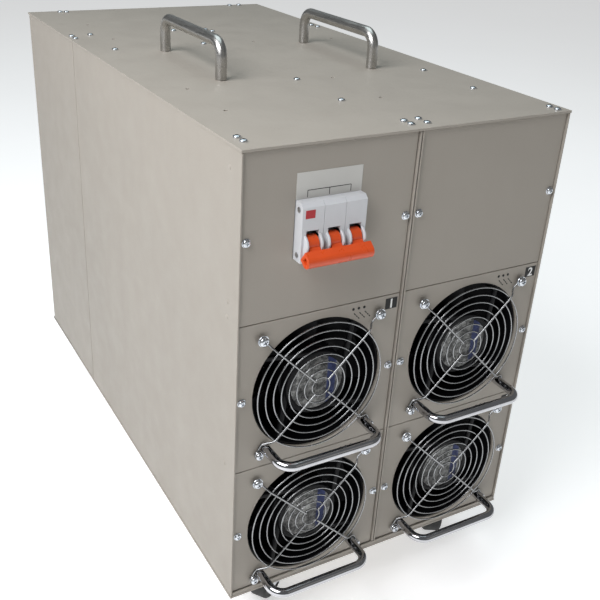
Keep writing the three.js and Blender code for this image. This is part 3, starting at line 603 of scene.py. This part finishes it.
def add_breaker():
    """The moulded body: three poles side by side, each with a lever slot between two curved rims."""
    node = "breaker_body"
    face, middle = low(node).y, mid(node)
    origin = Vector((middle.x, face, middle.z))
    hinge = Vector(joints["breaker_toggle_hinge"]["pos_m"])
    slot_z = (hinge.z - middle.z) / MM
    pivot_y = (hinge.y - face) / MM
    nose_y = pivot_y - 3
    bm = bmesh.new()
    for pole in (-1, 0, 1):
        x = pole * POLE
        part = bmesh.new()
        nose = [(nose_y, -NOSE_HALF), (nose_y + NOSE_DEPTH, -NOSE_HALF), (nose_y + NOSE_DEPTH, NOSE_HALF),
                (nose_y + NOSE_BEVEL, NOSE_HALF), (nose_y, NOSE_HALF - NOSE_BEVEL)]
        prism(part, nose, x - POLE / 2 + POLE_SEAM, x + POLE / 2 - POLE_SEAM, "x")
        round_edges(part, 0.6, 3)
        cutter = bmesh.new()
        box_mesh(cutter, x - SLOT_HALF, x + SLOT_HALF, -12, pivot_y + SLOT_DEPTH,
                 slot_z - SLOT_REACH, slot_z + SLOT_REACH)
        append_copy(bm, carve(part, [cutter]), Matrix())
        for x0 in (x - SLOT_HALF - RIM_WIDTH, x + SLOT_HALF):
            x1 = x0 + RIM_WIDTH
            rim = bmesh.new()
            turned(rim, [(0, x0), (RIM_RADIUS - 0.4, x0), (RIM_RADIUS, x0 + 0.35), (RIM_RADIUS, x1 - 0.35),
                         (RIM_RADIUS - 0.4, x1), (0, x1)], Vector((0, pivot_y, slot_z)) * MM, "x", 72)
            append_copy(bm, rim, Matrix())
    box_mesh(bm, -POLE * 1.5, POLE * 1.5, nose_y + 14.2, nose_y + BODY_REACH, -BODY_HALF, BODY_HALF)
    bm.transform(Matrix.Translation(origin))
    emit("breaker_body_fine", bm, WHITE, "cabinet", (node,), angle=38.0)

    rivets = bmesh.new()
    for z in (-17.5, 17.0):
        turned(rivets, [(0, -27.0), (2.2, -27.0), (2.2, -27.25), (1.7, -27.4), (0, -27.4)],
               Vector((0, nose_y + 5, z)) * MM, "x", 24)
    rivets.transform(Matrix.Translation(origin))
    emit("breaker_rivets", rivets, ZINC, "cabinet", weighted=False)

    patch = bmesh.new()
    box_mesh(patch, -24.4, -16.6, nose_y - 0.12, nose_y + 0.1, 11.4, 17.6)
    patch.transform(Matrix.Translation(origin))
    emit("breaker_red_patch", patch, RED, "cabinet", weighted=False)


def add_toggle():
    """Three orange levers and the D-section bar across their ends."""
    node = "breaker_toggle"
    out = (-math.cos(TOGGLE_DOWN), -math.sin(TOGGLE_DOWN))
    across = (math.sin(TOGGLE_DOWN), -math.cos(TOGGLE_DOWN))

    def at(reach, offset):
        return (out[0] * reach + across[0] * offset, out[1] * reach + across[1] * offset)

    bm = bmesh.new()
    for pole in (-1, 0, 1):
        x = pole * POLE
        turned(bm, [(0, x - LEVER_HALF), (6.6, x - LEVER_HALF), (6.9, x - 4.2), (6.9, x + 4.2),
                    (6.6, x + LEVER_HALF), (0, x + LEVER_HALF)], Vector(), "x", 48)
        lever = bmesh.new()
        prism(lever, [at(0, 3.9), at(0, -3.9), at(6, -3.7), at(13, -3.0), at(13, 3.0), at(6, 3.7)],
              x - LEVER_HALF, x + LEVER_HALF, "x")
        round_edges(lever, 0.5, 3)
        append_copy(bm, lever, Matrix())
    bar = bmesh.new()
    outline = [at(9.2, GRIP), at(9.2, -GRIP)]
    outline += [at(a, b) for a, b in arc((GRIP_CENTRE, 0), GRIP, -90, 90, 14)]
    prism(bar, outline, -BAR_HALF, BAR_HALF, "x")
    round_edges(bar, 0.6, 3)
    hollow = bmesh.new()
    prism(hollow, [at(11.6, 2.0), at(11.6, -2.0), at(15.2, -2.0), at(16.4, 0), at(15.2, 2.0)], -30, -24, "x")
    hollow_right = hollow.copy()
    hollow_right.transform(Matrix.Translation((54 * MM, 0, 0)))
    bar = carve(bar, [hollow, hollow_right])
    append_copy(bm, bar, Matrix())
    bm.transform(Matrix.Translation(Vector(joints["breaker_toggle_hinge"]["pos_m"])))
    emit("breaker_toggle_fine", bm, ORANGE, "breaker_toggle", (node,), angle=38.0)


def add_label():
    """A pale strip above the breaker, with a printed bracket that points to the three poles."""
    face = low("breaker_panel").y
    middle = mid("breaker_body").x
    base = low("base_plate").z
    bm = bmesh.new()
    box_mesh(bm, -LABEL_HALF, LABEL_HALF, -0.18, 0.0, LABEL_FOOT, LABEL_TOP)
    bm.transform(Matrix.Translation((middle, face - 0.02 * MM, base)))
    emit("breaker_label", bm, PAPER, "cabinet", weighted=False)
    ink = bmesh.new()
    for x in (-POLE, 0, POLE):
        box_mesh(ink, x - INK / 2, x + INK / 2, -0.24, -0.17, BRACKET_FOOT, 364.6)
    box_mesh(ink, -POLE, POLE, -0.24, -0.17, BRACKET_TOP, BRACKET_TOP + INK)
    ink.transform(Matrix.Translation((middle, face - 0.02 * MM, base)))
    emit("breaker_label_bracket", ink, PRINT, "cabinet", weighted=False)


add_breaker()
add_toggle()
add_label()


# ------------------------------------------------------------------ power modules

ROUND_SIDES = 112  # facets round the large holes and ducts
PANEL_HOLE = 58.5
GUARD_RADIUS = 56.5
GUARD_PITCH = 6.9
GUARD_RINGS = 8
GUARD_LEVEL = -5.0  # the rings' plane, in front of the panel
RING_WIRE = 0.6  # wire radius
SPOKE_WIRE = 0.78
EYE_WIRE = 0.85
EYE_RADIUS = 2.5
EYE_LEVEL = -1.35
HOLE = 52.4  # guard screws from the fan's centre, sideways and up or down
HUB = 28.5
COVER_DEPTH = 9.2  # of the motor's cover
SHAFT_HOLE = 3.3
SHAFT = 2.6
FOIL = 23.6
FLANGE = 4
FLANGE_BORE = 57.2
FLANGE_CORNER = 6.0
STRUTS = 4
STRUT_SIDES = (22.7, 27.3)
STRUT_ENDS = (4, 52)
STRUT_TURN = 7.5
BLADES = 7
BLADE_TIP = 54.2
DIGIT_PLACE = (64.0, 58.4)  # across and up from the fan's centre
DIGIT_SQUARE = (5.6, 4.8)  # half width and half height
LAMP_PLACE = (33.0, 60.4)
LAMP_PITCH = 5.1
MARK_TOP = 56.6
MARK_SLANT = math.radians(46)
DASHES = ((0.0, 2.6), (3.3, 5.2), (5.9, 7.9))
SCREW_INSET = 3.7  # retaining screws from a panel's side edges


def disc_cutter(radius, centre):
    """A round cutter along y."""
    bm = bmesh.new()
    turned(bm, [(0, -20), (radius, -20), (radius, 80), (0, 80)], centre, "y", ROUND_SIDES)
    return bm


def add_module_panel(number, centre):
    node = f"module_{number}_front_panel"
    a, b = low(node), high(node)
    bm = bmesh.new()
    made = bmesh.ops.create_cube(bm, size=1.0)["verts"]
    for vert in made:
        vert.co = Vector((a[i] + b[i]) / 2 + vert.co[i] * (b[i] - a[i]) for i in range(3))
    bm = carve(bm, [disc_cutter(PANEL_HOLE, centre)])
    bmesh.ops.dissolve_limit(bm, angle_limit=math.radians(0.5), verts=bm.verts, edges=bm.edges)
    round_edges(bm, 0.45, 2, 50.0)
    emit(node + "_fine", bm, PAINT, body_of[node], (node,), angle=28.0)


def spoke_path(sx, sz):
    """One guard spoke in millimetres about the fan centre: out along the rings, then back to its screw."""
    unit = math.sqrt(0.5)
    ring, panel = GUARD_LEVEL - RING_WIRE - SPOKE_WIRE + 0.1, EYE_LEVEL
    inner = GUARD_RADIUS - (GUARD_RINGS - 1) * GUARD_PITCH

    def at(radius, level):
        return Vector((sx * unit * radius, level, sz * unit * radius))

    if sz > 0:
        corners = [at(inner, ring), at(59.3, ring), at(64.5, panel), at(HOLE / unit - 2.6, panel)]
    else:
        corners = [at(inner, ring), at(57.3, ring),
                   Vector((sx * (HOLE - 2.2), panel, sz * (HOLE - 8.8))),
                   Vector((sx * (HOLE + 0.6), panel, sz * (HOLE - 2.7)))]
    return rounded_path(corners, 2.4)


def rounded_path(corners, radius, steps=5):
    """The corner points joined by straight runs, with each inner corner rounded."""
    path = [corners[0]]
    for before, corner, after in zip(corners, corners[1:], corners[2:]):
        enter = corner + (before - corner).normalized() * radius
        leave = corner + (after - corner).normalized() * radius
        for i in range(steps + 1):
            t = i / steps
            path.append(enter * (1 - t) ** 2 + corner * 2 * t * (1 - t) + leave * t ** 2)
    path.append(corners[-1])
    return path


def add_guard(number, centre):
    node = f"module_{number}_fan_guard"
    bm = bmesh.new()
    for i in range(GUARD_RINGS):
        radius = GUARD_RADIUS - i * GUARD_PITCH
        sides = 48 + int(radius)
        loop = [centre + Vector((radius * math.cos(a), GUARD_LEVEL, radius * math.sin(a))) * MM
                for a in (2 * math.pi * k / sides for k in range(sides))]
        sweep(bm, loop, RING_WIRE * MM, 10, closed=True)
    for sx in (-1, 1):
        for sz in (-1, 1):
            sweep(bm, [centre + p * MM for p in spoke_path(sx, sz)], SPOKE_WIRE * MM, 10)
            eye = [centre + Vector((sx * HOLE + EYE_RADIUS * math.cos(a), EYE_LEVEL,
                                    sz * HOLE + EYE_RADIUS * math.sin(a))) * MM
                   for a in (2 * math.pi * k / 24 for k in range(24))]
            sweep(bm, eye, EYE_WIRE * MM, 8, closed=True)
    emit(node + "_fine", bm, WIRE, body_of[node], (node,), angle=60.0, weighted=False)
    body = body_of[node]
    for word, head, sz in (("upper", CAP, 1), ("lower", CLOSE_CAP, -1)):
        screws(f"module_{number}_{word}_guard_screws", head,
               [centre + Vector((sx * HOLE, -2.3, sz * HOLE)) * MM for sx in (-1, 1)], (0, -1, 0), body)


def add_fan_frame(number, centre):
    """The square fan housing: two flanges, a flared round duct, and in front the motor's cover on four
    struts that run tangent to it. A worn foil disc covers most of the motor's face."""
    node = f"module_{number}_fan_frame"
    half = (high(node).x - low(node).x) / MM / 2
    cover = (low(node).y - centre.y) / MM
    back = (high(node).y - centre.y) / MM
    front = cover + 1.3
    bm = bmesh.new()
    reach = half - FLANGE_CORNER
    outline = []
    for cx, cz, start in ((1, 1, 0), (-1, 1, 90), (-1, -1, 180), (1, -1, 270)):
        outline += arc((cx * reach, cz * reach), FLANGE_CORNER, start, start + 90, 6)
    for y0, y1 in ((front, front + FLANGE), (back - FLANGE, back)):
        flange = bmesh.new()
        prism(flange, outline, y0, y1, "y")
        append_copy(bm, carve(flange, [disc_cutter(FLANGE_BORE, Vector())]), Matrix())
    turned(bm, [(58.4, front + 0.1), (57.9, front + 0.5), (57.2, front + 2.2), (56.6, front + 5),
                (56.4, (front + back) / 2), (56.6, back - 5), (57.6, back - 0.2), (59.2, back - 0.2),
                (59.2, front + 3.9), (58.4, front + 0.1)], Vector(), "y", ROUND_SIDES)
    for quarter in range(STRUTS):
        strut = bmesh.new()
        box_mesh(strut, *STRUT_SIDES, front + 0.8, front + 4.6, *STRUT_ENDS)
        round_edges(strut, 1.4, 4)
        append_copy(bm, strut, Matrix.Rotation(math.radians(STRUT_TURN + 90 * quarter), 4, "Y"))
    turned(bm, [(0, cover + 0.7), (24.0, cover + 0.7), (24.5, cover + 0.25), (26.2, cover),
                (27.7, cover + 0.5), (HUB, cover + 1.8), (HUB, cover + COVER_DEPTH),
                (SHAFT_HOLE, cover + COVER_DEPTH), (SHAFT_HOLE, cover + 5), (0, cover + 5)],
           Vector(), "y", 80)
    bm.transform(Matrix.Translation(centre))
    emit(node + "_fine", bm, BLACK, body_of[node], (node,), angle=35.0)
    foil = bmesh.new()
    turned(foil, [(0, cover + 0.35), (23.2, cover + 0.35), (FOIL, cover + 0.5), (FOIL, cover + 0.75),
                  (0, cover + 0.75)], Vector(), "y", 64)
    foil.transform(Matrix.Translation(centre))
    emit(f"module_{number}_motor_foil", foil, STICKER, body_of[node], weighted=False)


def blade_mesh(turn, lead, trail):
    """One cambered fan blade, closed, from inside the hub to just short of the duct."""
    blade = bmesh.new()
    chord_steps, span_steps = 10, 8
    root, tip = HUB - 1, BLADE_TIP
    grids = []
    for thickness in (0.0, 1.5):
        grid = []
        for i in range(span_steps + 1):
            s = i / span_steps
            radius = root + s * (tip - root)
            row = []
            for j in range(chord_steps + 1):
                c = j / chord_steps
                angle = turn + (0.30 + 0.13 * s) * (2 * c - 1) + 0.16 * s * s
                camber = 2.6 * math.sin(math.pi * c) * (1 - 0.3 * s)
                thick = thickness * math.sin(math.pi * min(max(c, 0.06), 0.94)) ** 0.5
                level = lead + (trail - lead) * c + camber + thick
                point = Vector((radius * math.cos(angle), level, radius * math.sin(angle)))
                row.append(blade.verts.new(point * MM))
            grid.append(row)
        grids.append(grid)
    lower, upper = grids
    for i in range(span_steps):
        for j in range(chord_steps):
            for grid, flip in ((lower, False), (upper, True)):
                quad = [grid[i][j], grid[i][j + 1], grid[i + 1][j + 1], grid[i + 1][j]]
                blade.faces.new(quad[::-1] if flip else quad)
    rim = [(i, 0) for i in range(span_steps)] + [(span_steps, j) for j in range(chord_steps)]
    rim += [(i, chord_steps) for i in range(span_steps, 0, -1)] + [(0, j) for j in range(chord_steps, 0, -1)]
    for (i, j), (k, l) in zip(rim, rim[1:] + rim[:1]):
        blade.faces.new((lower[i][j], lower[k][l], upper[k][l], upper[i][j]))
    return blade


def add_rotor(number, centre):
    """The hub on its shaft, behind the motor's cover, and seven swept blades."""
    node = f"module_{number}_fan_rotor"
    shaft = (low(node).y - centre.y) / MM
    back = (high(node).y - centre.y) / MM
    hub_front = shaft + 6.3
    bm = bmesh.new()
    turned(bm, [(0, shaft + 0.2), (SHAFT, shaft + 0.2), (SHAFT, hub_front + 0.2), (27, hub_front + 0.2),
                (HUB, hub_front + 1.8), (HUB, back - 2.5), (26.5, back - 0.3), (0, back - 0.3)],
           Vector(), "y", 72)
    for blade in range(BLADES):
        append_copy(bm, blade_mesh(2 * math.pi * blade / BLADES, hub_front + 2.3, back - 4.6), Matrix())
    bm.transform(Matrix.Translation(centre))
    emit(node + "_fine", bm, BLACK, body_of[node], (node,), angle=40.0)


def add_digit(number, place, body):
    """The module's digit, standing on a black square."""
    square = bmesh.new()
    half_width, half_height = DIGIT_SQUARE
    box_mesh(square, -half_width, half_width, -0.22, 0.0, -half_height, half_height)
    round_edges(square, 0.15, 2)
    square.transform(Matrix.Translation(place))
    emit(f"module_{number}_number_square", square, PRINT, body)
    text = bpy.data.curves.new(f"digit_{number}", "FONT")
    text.body = str(number)
    text.size = 11.0 * MM
    text.align_x = "CENTER"
    text.align_y = "CENTER"
    text.extrude = 0.04 * MM
    text.offset = 0.24 * MM
    holder = bpy.data.objects.new("digit_holder", text)
    scene.collection.objects.link(holder)
    bpy.context.view_layer.update()
    evaluated = holder.evaluated_get(bpy.context.evaluated_depsgraph_get())
    bm = bmesh.new()
    bm.from_mesh(evaluated.to_mesh())
    evaluated.to_mesh_clear()
    bpy.data.objects.remove(holder)
    bpy.data.curves.remove(text)
    spans = [(min(v.co[i] for v in bm.verts) + max(v.co[i] for v in bm.verts)) / 2 for i in range(3)]
    bm.transform(Matrix.Translation(place + Vector((0, -0.25 * MM, 0)))
                 @ Matrix.Rotation(math.radians(90), 4, "X") @ Matrix.Translation(-Vector(spans)))
    emit(f"module_{number}_digit", bm, CHALK, body, weighted=False)


def add_marks(number, centre, body):
    """Three lamp windows with a short slanted mark under each."""
    lamps = bmesh.new()
    marks = bmesh.new()
    for i in range(3):
        x = LAMP_PLACE[0] + (i - 1) * LAMP_PITCH
        turned(lamps, [(0, 0.0), (1.15, 0.0), (1.15, -0.2), (0.8, -0.45), (0, -0.55)],
               centre + Vector((x, 0, LAMP_PLACE[1])) * MM, "y", 20)
        start = Vector((x + 0.9, 0, MARK_TOP))
        for begin, end in DASHES:
            dash = bmesh.new()
            box_mesh(dash, begin, end, -0.1, 0.02, -0.42, 0.42)
            append_copy(marks, dash, Matrix.Translation(start * MM) @ Matrix.Rotation(MARK_SLANT, 4, "Y"))
    marks.transform(Matrix.Translation(centre))
    emit(f"module_{number}_lamp_windows", lamps, PRINT, body, weighted=False)
    emit(f"module_{number}_lamp_marks", marks, PRINT, body, weighted=False)


def panel_screws(name, node, body, z):
    """The two retaining screws at the sides of a front panel."""
    a, b = low(node), high(node)
    places = [Vector((x, a.y, z)) for x in (a.x + SCREW_INSET * MM, b.x - SCREW_INSET * MM)]
    screws(name, PAN, places, (0, -1, 0), body)


for number in (1, 2, 3, 4):
    panel = f"module_{number}_front_panel"
    body = body_of[panel]
    hub_centre = mid(f"module_{number}_fan_frame")
    face = Vector((hub_centre.x, low(panel).y, hub_centre.z))
    add_module_panel(number, face)
    add_guard(number, face)
    add_fan_frame(number, face)
    add_rotor(number, face)
    handle = f"module_{number}_handle"
    add_handle(handle, (1, 0, 0), (0, -1, 0), Vector((face.x, high(handle).y, mid(handle).z)), CHROME,
               **MODULE_HANDLE)
    panel_screws(f"module_{number}_panel_screws", panel, body, face.z)
    add_digit(number, face + Vector((DIGIT_PLACE[0], 0, DIGIT_PLACE[1])) * MM, body)
    add_marks(number, face, body)

for panel in ("breaker_panel", "blank_panel"):
    panel_screws(panel + "_screws", panel, "cabinet", mid(panel).z + 0.5 * MM)


# ------------------------------------------------------------------ casters

TREAD = (18.6, 5.2)  # centre of the tread's rounding: out from the axle, and to the side
TREAD_ROUND = 3.9
AXLE_BORE = 3.4
BOSS = 8.9  # half the width over the bosses
BRACKET_SHEET = 2.5
PLATE_INSET = 5 * MM


def add_wheel(node, axis, centre):
    """A moulded wheel with a rounded tread, dished sides and a raised boss."""
    bm = bmesh.new()
    side = arc(TREAD, TREAD_ROUND, 0, 90, 8)
    side += [(17.4, 9.0), (16.6, 8.2), (15.6, 6.4), (9.4, 6.4), (8.6, 7.0), (8.0, BOSS), (AXLE_BORE, BOSS)]
    profile = [(r, -h) for r, h in reversed(side)] + side + [(AXLE_BORE, -BOSS)]
    turned(bm, profile, Vector(), "z", 72)
    bm.transform(Matrix.Translation(centre) @ facing(axis))
    emit(node + "_fine", bm, RUBBER, body_of[node], (node,), angle=35.0)


def add_axle_ends(name, axis, centre, body):
    """Domed axle ends outside the fork legs."""
    bm = bmesh.new()
    for sign in (-1, 1):
        cap = bmesh.new()
        turned(cap, [(0, 12.0), (4.4, 12.0), (4.4, 12.9), (3.6, 13.8), (2.0, 14.3), (0, 14.4)],
               Vector(), "z", 28)
        append_copy(bm, cap, Matrix.Translation(centre) @ facing(Vector(axis) * sign))
    emit(name, bm, ZINC, body, weighted=False)


for corner_name in ("front_left", "front_right", "rear_left", "rear_right"):
    caster = corner_name + "_caster"
    roll = joints[caster + "_roll"]
    wheel_centre = Vector(roll["pos_m"])
    add_wheel(caster + "_wheel", roll["axis"], wheel_centre)
    if corner_name.startswith("front"):
        finer(caster + "_plate", ZINC, 0.5, 3)
        finer(caster + "_fork", ZINC, 0.45, 2, 40.0)
        add_axle_ends(caster + "_axle_ends", roll["axis"], wheel_centre, body_of[caster + "_fork"])
        race = bmesh.new()
        swivel = Vector(joints[caster + "_swivel"]["pos_m"])
        turned(race, [(19, 0), (21.0, 0.3), (21.6, 1.4), (21.0, 2.6), (19, 3.0)],
               Vector((swivel.x, swivel.y, 50 * MM)), "z", 56)
        emit(caster + "_race_ring", race, ZINC, body_of[caster + "_fork"], weighted=False)
        plate = caster + "_plate"
        held_by = body_of[plate]
    else:
        finer(caster + "_bracket", ZINC, 0.45, 2, 40.0)
        add_axle_ends(caster + "_axle_ends", roll["axis"], wheel_centre, "cabinet")
        plate = caster + "_bracket"
        held_by = "cabinet"
    a, b = low(plate), high(plate)
    plate_z = a.z if corner_name.startswith("front") else b.z - BRACKET_SHEET * MM
    screws(caster + "_plate_screws", PAN,
           [Vector((x, y, plate_z)) for x in (a.x + PLATE_INSET, b.x - PLATE_INSET)
            for y in (a.y + PLATE_INSET, b.y - PLATE_INSET)],
           (0, 0, -1), held_by)


# ------------------------------------------------------------------ rear

GLAND_BORE = 5
NUT_RADIUS = 15  # over its corners
DOME_RIBS = 18
REAR_INSET = 6  # of the rear panel's screws from its side edges


def add_gland():
    """Cable gland: locknut, thread, hexagon and ribbed dome nut."""
    node = "mains_cable_gland"
    a, b = low(node), high(node)
    face = high("rear_panel").y
    centre = Vector(((a.x + b.x) / 2, face, (a.z + b.z) / 2))
    bm = bmesh.new()
    turned(bm, [(GLAND_BORE, -12), (10, -12), (10, 1), (GLAND_BORE, 1), (GLAND_BORE, -12)],
           Vector(), "y", 48)
    for y0, y1 in ((-9, -4.3), (0.4, 7)):
        nut = bmesh.new()
        turned(nut, [(GLAND_BORE, y0), (14.4, y0), (NUT_RADIUS, y0 + 0.5), (NUT_RADIUS, y1 - 0.5),
                     (14.4, y1), (GLAND_BORE, y1), (GLAND_BORE, y0)], Vector(), "y", 6)
        append_copy(bm, nut, Matrix())
    dome = [(GLAND_BORE, 6.5), (12.4, 6.5), (13, 7.2), (13, 17)]
    dome += arc((7.6, 19), 5.4, 0, 75, 8) + [(GLAND_BORE, 25.8), (GLAND_BORE, 6.5)]
    turned(bm, dome, Vector(), "y", 64)
    for k in range(DOME_RIBS):
        rib = bmesh.new()
        box_mesh(rib, -0.5, 0.5, 7.6, 16.4, 12.4, 12.98)
        round_edges(rib, 0.2, 2)
        append_copy(bm, rib, Matrix.Rotation(2 * math.pi * k / DOME_RIBS, 4, "Y"))
    bm.transform(Matrix.Translation(centre))
    emit(node + "_fine", bm, TERMINAL_BLACK, "cabinet", (node,), angle=35.0)


BOARD = 8.7  # the terminal board's thickness
BOARD_HALF = (52, 22)
STUD_OFFSET = 30
BOARD_SCREWS = (46, 16)  # from the board's middle


def add_terminals():
    """Insulating board with two studs, each with a washer and two nuts."""
    node = "output_terminal_board"
    a, b = low(node), high(node)
    origin = Vector(((a.x + b.x) / 2, a.y, (a.z + b.z) / 2))
    reach = (b.y - a.y) / MM
    bm = bmesh.new()
    box_mesh(bm, -BOARD_HALF[0], BOARD_HALF[0], 0, BOARD, -BOARD_HALF[1], BOARD_HALF[1])
    round_edges(bm, 1.2, 3)
    bm.transform(Matrix.Translation(origin))
    emit(node + "_fine", bm, TERMINAL_BLACK, "cabinet", (node,))
    hardware = bmesh.new()
    for x in (-STUD_OFFSET, STUD_OFFSET):
        at = Vector((x * MM, 0, 0))
        turned(hardware, [(0, BOARD), (12, BOARD), (12, 10.2), (11.5, 10.7), (0, 10.7)], at, "y", 48)
        nut = bmesh.new()
        turned(nut, [(0, 10.7), (8.6, 10.7), (9, 11.3), (9, 16.1), (8.6, 16.7), (0, 16.7)], at, "y", 6)
        append_copy(hardware, nut, Matrix())
        thread = [(0, 16.7)]
        turns = int((reach - 17.5) / 0.8)
        for k in range(turns):
            thread += [(5.0, 16.7 + 0.8 * k), (4.6, 17.1 + 0.8 * k)]
        thread += [(4.8, reach - 0.6), (4.3, reach), (0, reach)]
        turned(hardware, thread, at, "y", 40)
    hardware.transform(Matrix.Translation(origin))
    emit("output_studs", hardware, ZINC, "cabinet", angle=35.0)
    across, up = BOARD_SCREWS
    places = [origin + Vector((x, BOARD, z)) * MM for x in (-across, across) for z in (-up, up)]
    screws("terminal_board_screws", PAN, places, (0, 1, 0), "cabinet")


def rear_screws():
    a, b = low("rear_panel"), high("rear_panel")
    places = [Vector((x, b.y, a.z + t * (b.z - a.z)))
              for x in (a.x + REAR_INSET * MM, b.x - REAR_INSET * MM) for t in (0.04, 0.35, 0.65, 0.96)]
    screws("rear_panel_screws", PAN, places, (0, 1, 0), "cabinet")


add_gland()
add_terminals()
rear_screws()

# Inner pieces: the CAD shape with softened edges, and a finish.
for number in (1, 2, 3, 4):
    for part in ("chassis", "heat_sink"):
        finer(f"module_{number}_{part}", ALUMINIUM, 0.2, 1)
for shelf in ("shelf_left_lower", "shelf_left_upper", "shelf_right_lower", "shelf_right_upper"):
    finer(shelf, PAINT, 0.25, 1)
finer("din_rail", ZINC, 0.2, 1)


# ------------------------------------------------------------------ floor and light

FLOOR_HALF = 9.0  # metres


def add_floor():
    bm = bmesh.new()
    bmesh.ops.create_grid(bm, x_segments=1, y_segments=1, size=FLOOR_HALF)
    mesh = bpy.data.meshes.new("floor")
    bm.to_mesh(mesh)
    bm.free()
    mesh.materials.append(pale_floor("pale_floor"))
    floor = bpy.data.objects.new("floor", mesh)
    scene.collection.objects.link(floor)


def add_light(name, place, aim, size, power, colour):
    data = bpy.data.lights.new(name, "AREA")
    data.shape = "RECTANGLE"
    data.size, data.size_y = size
    data.energy = power
    data.color = colour
    light = bpy.data.objects.new(name, data)
    light.location = place
    light.rotation_euler = (Vector(aim) - Vector(place)).to_track_quat("-Z", "Y").to_euler()
    scene.collection.objects.link(light)


def add_world():
    world = bpy.data.worlds.new("studio")
    scene.world = world
    world.use_nodes = True
    tree = world.node_tree
    background = tree.nodes["Background"]
    background.inputs["Color"].default_value = (0.95, 0.98, 1.0, 1)
    background.inputs["Strength"].default_value = 0.15


scene.view_settings.view_transform = "Standard"  # colours as they are, with a clean white floor
add_floor()
add_world()
# Each lamp: where it hangs, what it aims at, its size, its watts and its colour.
add_light("key_left", (-0.85, -0.36, 1.2), (-0.148, -0.2, 0.4), (0.9, 0.7), 18.5, (0.98, 0.98, 1.0))
add_light("overhead", (0.3, 0.6, 2.4), (0.0, 0.0, 0.3), (1.8, 1.8), 18, (0.82, 0.96, 1.0))
add_light("front_fill", (0.9, -2.4, 1.5), (0.0, -0.2, 0.4), (1.4, 1.0), 0.8, (1.0, 0.93, 0.84))
